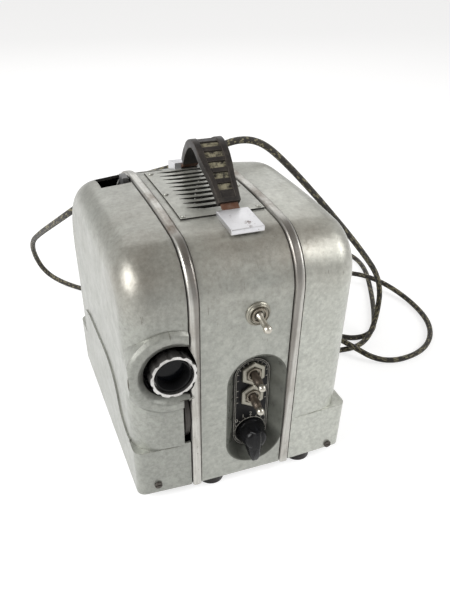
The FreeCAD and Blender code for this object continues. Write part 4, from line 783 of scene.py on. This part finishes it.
class PROJECTOR_OT_handle(bpy.types.Operator):
    """Model the rubber strap with its rails and pockets, and dress its steel strip and end caps"""
    bl_idname = "projector.handle"
    bl_label = "Carrying handle"

    def tapered(self, strap, reach, steps):
        """Draws the strap in towards its ends, one row of points after another."""
        s = sizes()
        pick(strap, "VERT", lambda v: True)
        for step in range(steps + 1):
            spot = reach * step / steps
            width = s.strap_end + between(STRAP_PLAN, step / steps) * (s.strap_width - s.strap_end)
            pick(strap, "VERT", lambda v, spot=spot: abs(v.co.x - spot) < reach / steps / 3)
            bpy.ops.transform.resize(value=(1, width / s.strap_width, 1), center_override=(spot, 0, 0))

    def execute(self, context):
        s = sizes()
        middle = extent("handle_strap")
        across = (middle[0].x + middle[1].x) / 2
        corners = [place(across, depth * MM, height * MM) for depth, height in STRAP_LINE]
        points = through(corners, LINE_STEPS)
        line = smooth_line("strap_line", [tuple(part * TO_MM for part in point) for point in points])
        line.data.twist_mode = "Z_UP"
        reach = sum((after - before).length for before, after in zip(points, points[1:]))
        steps = POCKET_PITCH * s.pockets + 1 + 2 * STRAP_MARGIN
        bpy.ops.mesh.primitive_grid_add(x_subdivisions=steps, y_subdivisions=STRIPS, size=1)
        strap = started("rubber_strap")
        strap.dimensions = (reach, s.strap_width, 0)
        strap.location = (reach / 2, 0, 0)
        settle(strap)
        half = s.strap_width / 2
        edit(strap, "VERT")
        slope = s.rail_width * 1.5
        for row, spot in enumerate((s.rail_width - half, slope - half, half - slope, half - s.rail_width), 1):
            old = s.strap_width * (row / STRIPS - 0.5)
            pick(strap, "VERT", lambda v, old=old: abs(v.co.y - old) < 0.0002)
            bpy.ops.transform.translate(value=(0, spot - old, 0))
        deselect()
        modify(strap, "SOLIDIFY", thickness=s.strap_thickness, offset=0)
        edit(strap)
        stride = reach / steps

        def inner(face):
            spot = face.calc_center_median()
            within = stride * (STRAP_MARGIN - 1) < spot.x < reach - stride * (STRAP_MARGIN - 1)
            return face.normal.z > STRAP_TOP and abs(spot.y) < half - s.rail_width and within

        def in_pocket(face):
            step = int(face.calc_center_median().x / stride) - STRAP_MARGIN
            low = face.calc_center_median().z < s.strap_thickness / 2 - s.rail_height / 2
            among = 0 <= step < POCKET_PITCH * s.pockets + 1
            return inner(face) and low and among and step % POCKET_PITCH > 0

        for wanted, depth in ((inner, s.rail_height), (in_pocket, s.pocket_depth)):
            pick(strap, "FACE", wanted)
            bpy.ops.mesh.inset(thickness=POCKET_SLOPE, use_individual=False)
            bpy.ops.mesh.extrude_region_move(TRANSFORM_OT_translate={"value": (0, 0, -depth)})
        self.tapered(strap, reach, steps)
        deselect()
        strap.data.materials.append(finish("rubber"))
        floor = s.strap_thickness / 2 - s.rail_height - s.pocket_depth / 2
        paint(strap, finish("pocket"), lambda face: face.normal.z > STRAP_TOP and 0 < face.center.z < floor)
        soften(strap, STRAP_EDGE, 3, 50)
        modify(strap, "CURVE", object=line, deform_axis="POS_X")
        bpy.data.objects.remove(line)
        complete(strap, "base", finish("rubber"), ("handle_strap",))
        rounded_copy("handle_spring", finish("rust"), FINE_EDGE)
        for node in ("handle_front_cap", "handle_rear_cap"):
            rounded_copy(node, finish("plating"), ROUND_EDGE)
        return {"FINISHED"}


# Switches: lever tilt in degrees, lever reach and the thick middle of its stalk
SWITCHES = {
    "upper": (11, 0.0173, 0.0023),
    "middle": (8, 0.0185, 0.0037),
    "lower": (12, 0.0185, 0.0037),
}
# A stalk with a middle thicker than this is the brown kind
THICK_STALK = 0.003
# The pale tip of a lever starts this far below its reach
TIP_LENGTH = 0.0022
# Mouth of a nut: radius, and depth below the nut's face
NUT_MOUTH = [(0.0074, 0), (0.0070, 0.0008), (0.0061, 0.0009), (0.0061, 0.0012)]
HEX_CHAMFER = 0.0007
# Lever, as radius and height: its ball and collar, and then its tip with heights above its reach
LEVER_FOOT = [(0.0012, -0.0032), (0.0026, -0.0022), (0.0034, 0), (0.0036, 0.0022), (0.0031, 0.004)]
LEVER_TIP = [(0.0025, -0.0021), (0.0031, -0.001), (0.0032, 0.0002), (0.0028, 0.0016), (0.0019, 0.0026),
             (0.0007, 0.0031)]
# Height at which the stalk is thickest
BULGE_HEIGHT = 0.009


class PROJECTOR_OT_switches(bpy.types.Operator):
    """Model the three toggle switches with their nuts and levers"""
    bl_idname = "projector.switches"
    bl_label = "Toggle switches"

    def nut(self, name, hexed):
        """A hexagonal nut, or a round one in steps, with the mouth of its bore."""
        s = sizes()
        top = s.nut_height
        if hexed:
            outer = s.nut_flats / math.sqrt(3)
            rim = [(outer, 0), (outer, top - HEX_CHAMFER), (outer * 0.93, top)]
        else:
            outer = s.round_nut
            rim = [(outer, 0), (outer, 0.0009), (outer * 0.94, 0.0015), (outer * 0.86, 0.0018),
                   (outer * 0.84, top - 0.0003), (outer * 0.8, top)]
        mouth = [(radius, top - depth) for radius, depth in NUT_MOUTH]
        nut = turned(name, rim + mouth, 6 if hexed else ROUND_SIDES)
        soften(nut, SMALL_EDGE, 2, 30)
        return nut

    def lever(self, name, reach, bulge):
        """A lever on its ball, thickest at the middle of its stalk, with a round tip."""
        stalk = [((0.0021 + bulge) / 2, 0.0058), (bulge, BULGE_HEIGHT),
                 ((0.0026 + bulge) / 2, (BULGE_HEIGHT + reach) / 2)]
        tip = [(radius, reach + rise) for radius, rise in LEVER_TIP]
        lever = turned(name, LEVER_FOOT + stalk + tip, 32)
        lever.data.materials.append(finish("stalk" if bulge > THICK_STALK else "tip"))
        paint(lever, finish("tip"), lambda face: face.center.z > reach - TIP_LENGTH)
        return lever

    def execute(self, context):
        for name, (tilt, reach, bulge) in SWITCHES.items():
            low, high = extent(name + "_switch_nut")
            spot = Vector(((low.x + high.x) / 2, high.y, (low.z + high.z) / 2))
            nut = self.nut(name + "_nut", name != "upper")
            aim(nut, spot, (90, 0, 0))
            complete(nut, "base", finish("nickel"), (name + "_switch_nut",), 30)
            rounded_copy(name + "_switch_body", finish("bushing"), SMALL_EDGE)
            lever = self.lever(name + "_lever", reach, bulge)
            aim(lever, spot, (90 + tilt, 0, 0))
            complete(lever, name + "_lever", finish("tip"), (name + "_switch_lever",), 60)
        return {"FINISHED"}


# Speed knob, as radius and height: the steps of its hub above the skirt
KNOB_HUB = [(0.0116, 0.0027), (0.0108, 0.0060), (0.0100, 0.0100), (0.0092, 0.0134), (0.0080, 0.0148),
            (0.0058, 0.0153), (0.0020, 0.0154)]
# Depth of the knob's flat underside behind the casing's front
KNOB_SEAT = 0.009
# The pointer's keel: its back end, its foot and its width
KEEL_BACK = 0.0095
KEEL_FOOT = 0.0026
KEEL_WIDTH = 0.0172
# Keel from back to tip: share of its width and height, and how far its underside rises
KEEL_ROWS = [(0.7, 0.94, 0), (1, 1, 0), (0.94, 1, 0), (0.82, 0.97, 0.2), (0.66, 0.9, 0.42), (0.4, 0.78, 0.6)]
# Keel from foot to ridge: height, and the share of its width that is left above it
KEEL_CROWN = [(0.55, 0.9), (0.75, 0.62), (0.93, 0.4)]


class PROJECTOR_OT_speed_knob(bpy.types.Operator):
    """Model the pointer knob with its skirt, hub and keel-like pointer"""
    bl_idname = "projector.speed_knob"
    bl_label = "Speed knob"

    def keel(self, front, tip):
        """The pointer: a block narrowed row by row and towards its ridge, and rounded all over."""
        bpy.ops.mesh.primitive_cube_add(size=1, location=(0, (KEEL_BACK + tip) / 2, (front + KEEL_FOOT) / 2))
        keel = started("knob_keel")
        keel.dimensions = (KEEL_WIDTH, KEEL_BACK - tip, front - KEEL_FOOT)
        settle(keel)
        edit(keel)
        bpy.ops.mesh.select_all(action="SELECT")
        bpy.ops.mesh.subdivide(number_cuts=len(KEEL_ROWS) - 2)
        for step, (width, top, foot) in enumerate(KEEL_ROWS):
            row = KEEL_BACK + (tip - KEEL_BACK) * step / (len(KEEL_ROWS) - 1)
            pick(keel, "VERT", lambda v, row=row: abs(v.co.y - row) < MM)
            bpy.ops.transform.resize(value=(width, 1, top - foot), center_override=(0, row, 0))
            bpy.ops.transform.translate(value=(0, 0, foot * front))
        for height, width in KEEL_CROWN:
            pick(keel, "VERT", lambda v, height=height: v.co.z > front * height)
            bpy.ops.transform.resize(value=(width, 1, 1), center_override=(0, 0, front))
        deselect()
        modify(keel, "SUBSURF", levels=2, render_levels=2)
        return keel

    def execute(self, context):
        low, high = extent("speed_knob")
        radius = (high.x - low.x) / 2
        spot = Vector(((low.x + high.x) / 2, FRONT + KNOB_SEAT, high.z - radius))
        skirt = [(radius - 0.0014, 0), (radius, 0.0006), (radius, 0.0018), (radius - 0.0008, 0.0025)]
        round_part = turned("knob_round", skirt + KNOB_HUB, 64)
        knob = joined("pointer_knob", [round_part, self.keel(spot.y - low.y, low.z - spot.z)])
        aim(knob, spot, (90, 0, 0))
        complete(knob, "knob", finish("bakelite"), ("speed_knob",), 50)
        return {"FINISHED"}


# Control plate: height of the knob's axis above the lower end's centre, from the CAD knob
KNOB_RADIUS = 0.0125
KNOB_UP = extent("speed_knob")[1].z - BOTTOM - KNOB_RADIUS - WELL_LOW
# Outlines of the plate: distance from its edge
OUTER_LINE = 0.0006
INNER_LINE = 0.0019
# Marks round the knob: a ring, ticks and numbers, with their radii, sizes and degrees
RING_RADIUS = 0.0137
TICK_RADIUS = 0.0147
TICK_SIZE = (0.0012, 0.0005)
TICK_TURNS = range(-30, 211, 20)
DIGIT_RADIUS = 0.0176
DIGIT_HEIGHT = 0.0048
DIGIT_TURNS = range(134, 45, -22)
# Marks beside the switches, and in an arc above them
SIDE_MARK_X = 0.0123
SIDE_MARK_SIZE = (0.0016, 0.0006)
SIDE_MARK_RISES = (-0.006, 0, 0.006)
TOP_MARK_RADIUS = 0.0119
TOP_MARK_SIZE = (0.0012, 0.0007)
TOP_MARK_TURNS = range(150, 29, -20)
# Thickness of all marks, and how far their middle stands off the plate
MARK_THICKNESS = 0.00012
MARK_LIFT = 0.00006


def round_about(radius, angle, rise):
    """The spot at a radius and an angle in degrees round a centre that lies at a height."""
    turn = math.radians(angle)
    return (radius * math.cos(turn), rise + radius * math.sin(turn))


class PROJECTOR_OT_plate_marks(bpy.types.Operator):
    """Draw the double outline, the ticks and the numbers of the control plate"""
    bl_idname = "projector.plate_marks"
    bl_label = "Control plate marks"

    def flattened(self, line):
        modify(line, "SOLIDIFY", thickness=MARK_THICKNESS, offset=0)
        return line

    def ring(self, name, radius, width, stretch):
        """A closed line; with a stretch its upper half moves up to make the plate's long outline."""
        bpy.ops.mesh.primitive_circle_add(vertices=64, radius=radius, fill_type="NGON", location=(0, 0, 0))
        line = started(name)
        edit(line, "VERT")
        if stretch:
            pick(line, "VERT", lambda v: v.co.y > 0.0001)
            bpy.ops.transform.translate(value=(0, stretch, 0))
        pick(line, "FACE", lambda f: True)
        bpy.ops.mesh.inset(thickness=width)
        bpy.ops.mesh.delete(type="FACE")
        deselect()
        return self.flattened(line)

    def bar(self, name, spot, size, angle=0):
        bpy.ops.mesh.primitive_plane_add(size=1)
        bar = started(name)
        bar.dimensions = (*size, 0)
        bar.rotation_euler = (0, 0, math.radians(angle))
        bar.location = (*spot, 0)
        settle(bar)
        return self.flattened(bar)

    def number(self, digit, spot):
        bpy.ops.object.text_add(location=(0, 0, 0))
        text = started("number_" + digit)
        text.data.body = digit
        text.data.size = DIGIT_HEIGHT
        text.data.align_x = "CENTER"
        text.data.align_y = "CENTER"
        bpy.ops.object.convert(target="MESH")
        text.location = (*spot, 0)
        settle(text)
        return self.flattened(text)

    def execute(self, context):
        line_width = sizes().line_width
        tall = WELL_HIGH - WELL_LOW
        marks = [self.ring("outer_line", PLATE_REACH - OUTER_LINE, line_width, tall),
                 self.ring("inner_line", PLATE_REACH - INNER_LINE, line_width * 0.8, tall)]
        for index, angle in enumerate(TICK_TURNS):
            spot = round_about(TICK_RADIUS, angle, KNOB_UP)
            marks.append(self.bar("knob_tick_%d" % index, spot, TICK_SIZE, angle))
        knob_line = self.ring("knob_line", RING_RADIUS, line_width, 0)
        knob_line.location = (0, KNOB_UP, 0)
        settle(knob_line)
        marks.append(knob_line)
        for digit, angle in enumerate(DIGIT_TURNS):
            marks.append(self.number(str(digit), round_about(DIGIT_RADIUS, angle, KNOB_UP)))
        for name in ("middle", "lower"):
            low, high = extent(name + "_switch_nut")
            height = (low.z + high.z) / 2 - BOTTOM - WELL_LOW
            for index, rise in enumerate(SIDE_MARK_RISES):
                for kind, side in (("mark", -SIDE_MARK_X), ("tick", SIDE_MARK_X)):
                    label = "%s_%s_%d" % (name, kind, index)
                    marks.append(self.bar(label, (side, height + rise), SIDE_MARK_SIZE))
        for index, angle in enumerate(TOP_MARK_TURNS):
            spot = round_about(TOP_MARK_RADIUS, angle, tall)
            marks.append(self.bar("top_mark_%d" % index, spot, TOP_MARK_SIZE, angle))
        line = joined("plate_lines", marks)
        spot = place(WELL_X, PLATE_DEPTH - MARK_LIFT, WELL_LOW)
        line.matrix_world = Matrix.Translation(spot) @ Matrix.Rotation(math.radians(90), 4, "X")
        complete(line, "base", finish("lines"), (), 30)
        return {"FINISHED"}


# Share by which a face of the focus ring looks forward to be on its bright front; its other faces are darker
# as painted shade
RING_FACE = 0.9


class PROJECTOR_OT_lens(bpy.types.Operator):
    """Dress the scalloped focus ring, the black barrel and the lens glass"""
    bl_idname = "projector.lens"
    bl_label = "Lens"

    def execute(self, context):
        # The ring's sides are darker than its front as painted shade
        ring = rounded_copy("lens_ring", finish("ring_side_painted_shade"), SOFT_EDGE)
        paint(ring, finish("ring"), lambda face: face.normal.y < -RING_FACE)
        rounded_copy("lens_barrel", finish("black_metal"), SMALL_EDGE)
        rounded_copy("lens_glass", finish("glass"))
        rounded_copy("lens_mount", finish("black_metal"), SOFT_EDGE)
        rounded_copy("hand_wheel", finish("wheel"), ROUND_EDGE)
        return {"FINISHED"}


class PROJECTOR_OT_screws(bpy.types.Operator):
    """Dress the cover screws and the vent panel screws"""
    bl_idname = "projector.screws"
    bl_label = "Screws"

    def execute(self, context):
        for node in ("film_cover_screw", "motor_cover_screw"):
            rounded_copy(node, finish("screw"), SMALL_EDGE)
        rounded_copy("vent_screws", finish("enamel"), FINE_EDGE)
        return {"FINISHED"}


class PROJECTOR_OT_feet(bpy.types.Operator):
    """Dress the four rubber feet"""
    bl_idname = "projector.feet"
    bl_label = "Rubber feet"

    def execute(self, context):
        for corner in ("front_left", "front_right", "rear_left", "rear_right"):
            rounded_copy("foot_" + corner, finish("rubber"), BROAD_EDGE)
        return {"FINISHED"}


# Inner pieces and their finishes
MECHANISM = {
    # The film gate is blackened steel as painted shade, so that the gap in front of it reads dark
    "rheostat": "bakelite", "film_gate": "wheel", "mirror": "mirror", "lamp": "bulb",
    "lamp_house": "black_metal", "main_shaft": "steel", "main_pulley": "cast", "sprocket_gear": "brass",
    "film_sprocket": "plating", "shutter_shaft": "steel", "shutter_disc": "black_metal",
    "shutter_belt": "rubber", "drive_belt": "rubber", "motor": "motor", "rotor_shaft": "steel", "fan": "cast",
    "takeup_spindle": "steel", "supply_arm": "steel", "reel_spindle": "steel",
}


class PROJECTOR_OT_mechanism(bpy.types.Operator):
    """Give the shafts, pulleys, belts, motor and light path their finishes"""
    bl_idname = "projector.mechanism"
    bl_label = "Mechanism"

    def execute(self, context):
        for node, kind in MECHANISM.items():
            rounded_copy(node, finish(kind))
        return {"FINISHED"}


# Half width and half depth of the area under the projector where the floor doesn't glow
UNDERSIDE = (0.075, 0.095)
FLOOR_SIZE = 8
# The floor's tone under the lamps, and the glow on top of it that turns it white for the camera
FLOOR_TONE = (0.42, 0.42, 0.42, 1.0)
FLOOR_GLOW = 0.72
# The sky that lights the projector, from the horizon up: share of the way up, and colour
SKY = [(0.0, (0.85, 0.86, 0.87, 1)), (0.35, (0.78, 0.78, 0.78, 1)), (0.9, (0.36, 0.33, 0.30, 1))]
SKY_STRENGTH = 0.62
# Lamps: place, width and height, and power in watts; all of them aim at the middle of the projector
LAMPS = {
    "left_softbox": ((-1.4, -0.3, 1.0), (1.0, 1.0), 30),
    "right_softbox": ((1.23, -0.6, 0.95), (0.75, 0.75), 12),
    "back_softbox": ((0.3, 1.5, 1.1), (1.6, 1.0), 5),
}
LAMP_TARGET = Vector((0, 0, 0.11))
# Camera: place, turn in degrees, sensor and lens in millimetres, and shift of the frame
CAMERA_PLACE = (MIDDLE_X - 0.152, -0.4443, 0.3898)
CAMERA_TURN = (51.776, -0.193, -20.378)
CAMERA_SENSOR = 36
CAMERA_LENS = 48.96
CAMERA_SHIFT = (0.0244, 0.2)


class PROJECTOR_OT_stage(bpy.types.Operator):
    """Set the floor, the soft lights and the camera"""
    bl_idname = "projector.stage"
    bl_label = "Studio"

    def floor_material(self):
        """Grey under the lamps and white for the camera and in reflections, but not under the projector."""
        material = bpy.data.materials.new("studio_floor")
        material.use_nodes = True
        p = Pattern(material.node_tree)
        p.nodes.remove(p.nodes["Principled BSDF"])
        diffuse = p.add("BsdfDiffuse", Color=FLOOR_TONE)
        spot = p.add("TexCoord").outputs["Object"]
        beside = p.maths("GREATER_THAN", p.maths("ABSOLUTE", p.axis("X", spot)), UNDERSIDE[0])
        before = p.maths("GREATER_THAN", p.maths("ABSOLUTE", p.axis("Y", spot)), UNDERSIDE[1])
        path = p.add("LightPath").outputs
        seen = p.maths("MAXIMUM", path["Is Camera Ray"], path["Is Glossy Ray"])
        around = p.times(seen, p.maths("MAXIMUM", beside, before))
        strength = p.times(around, FLOOR_GLOW)
        glow = p.add("Emission", Color=(*colours().floor, 1.0), Strength=strength)
        both = p.add("AddShader")
        p.put(both.inputs[0], diffuse.outputs[0])
        p.put(both.inputs[1], glow.outputs[0])
        p.put(p.nodes["Material Output"].inputs["Surface"], both.outputs[0])
        return material

    def world(self):
        """A sky that is paler at the horizon to light the projector, and plain white for the camera."""
        world = bpy.data.worlds.new("studio_world")
        bpy.context.scene.world = world
        world.use_nodes = True
        p = Pattern(world.node_tree)
        fade = p.add("ValToRGB", Fac=p.axis("Z", p.add("TexCoord").outputs["Generated"]))
        fade.color_ramp.elements.new(0.5)
        for element, (height, tone) in zip(fade.color_ramp.elements, SKY):
            element.position = height
            element.color = tone
        sky = p.nodes["Background"]
        p.put(sky.inputs["Color"], fade.outputs["Color"])
        p.put(sky.inputs["Strength"], SKY_STRENGTH)
        white = p.add("Background", Color=(*colours().floor, 1.0))
        swap = p.add("MixShader")
        p.put(swap.inputs[0], p.add("LightPath").outputs["Is Camera Ray"])
        p.put(swap.inputs[1], sky.outputs[0])
        p.put(swap.inputs[2], white.outputs[0])
        p.put(p.nodes["World Output"].inputs["Surface"], swap.outputs[0])

    def lamp(self, name, spot, size, power):
        bpy.ops.object.light_add(type="AREA", location=spot)
        lamp = bpy.context.object
        lamp.name = name
        lamp.data.shape = "RECTANGLE"
        lamp.data.size, lamp.data.size_y = size
        lamp.data.energy = power
        direction = LAMP_TARGET - Vector(spot)
        lamp.rotation_euler = direction.to_track_quat("-Z", "Y").to_euler()

    def camera(self):
        bpy.ops.object.camera_add(location=CAMERA_PLACE)
        camera = bpy.context.object
        camera.rotation_euler = [math.radians(angle) for angle in CAMERA_TURN]
        camera.data.sensor_fit = "HORIZONTAL"
        camera.data.sensor_width = CAMERA_SENSOR
        camera.data.lens = CAMERA_LENS
        camera.data.shift_x, camera.data.shift_y = CAMERA_SHIFT
        bpy.context.scene.camera = camera

    def execute(self, context):
        deselect()
        bpy.ops.mesh.primitive_plane_add(size=FLOOR_SIZE, location=(0, 0, 0))
        floor = started("studio_floor")
        floor.data.materials.append(self.floor_material())
        self.world()
        for name, (spot, size, power) in LAMPS.items():
            self.lamp(name, spot, size, power)
        self.camera()
        context.scene.view_settings.view_transform = "Standard"
        return {"FINISHED"}


OPERATORS = [
    PROJECTOR_OT_cord, PROJECTOR_OT_shells, PROJECTOR_OT_handle, PROJECTOR_OT_switches,
    PROJECTOR_OT_speed_knob, PROJECTOR_OT_plate_marks, PROJECTOR_OT_lens, PROJECTOR_OT_screws,
    PROJECTOR_OT_feet, PROJECTOR_OT_mechanism, PROJECTOR_OT_stage,
]


class PROJECTOR_PT_panel(bpy.types.Panel):
    bl_idname = "PROJECTOR_PT_panel"
    bl_label = "Film Projector"
    bl_space_type = "VIEW_3D"
    bl_region_type = "UI"
    bl_category = "Projector"

    def draw(self, context):
        for group in (context.scene.projector_sizes, context.scene.projector_colours):
            box = self.layout.box()
            for name in group.bl_rna.properties.keys():
                if name not in {"rna_type", "name"}:
                    box.prop(group, name)
        for operator in OPERATORS:
            self.layout.operator(operator.bl_idname)


CLASSES = [ProjectorSizes, ProjectorColours, *OPERATORS, PROJECTOR_PT_panel]


def register():
    for cls in CLASSES:
        bpy.utils.register_class(cls)
    bpy.types.Scene.projector_sizes = bpy.props.PointerProperty(type=ProjectorSizes)
    bpy.types.Scene.projector_colours = bpy.props.PointerProperty(type=ProjectorColours)


def unregister():
    del bpy.types.Scene.projector_colours
    del bpy.types.Scene.projector_sizes
    for cls in reversed(CLASSES):
        bpy.utils.unregister_class(cls)


def main():
    register()
    for name in ("cord", "shells", "handle", "switches", "speed_knob", "plate_marks", "lens", "screws",
                 "feet", "mechanism", "stage"):
        getattr(bpy.ops.projector, name)()


if __name__ == "__main__":
    main()
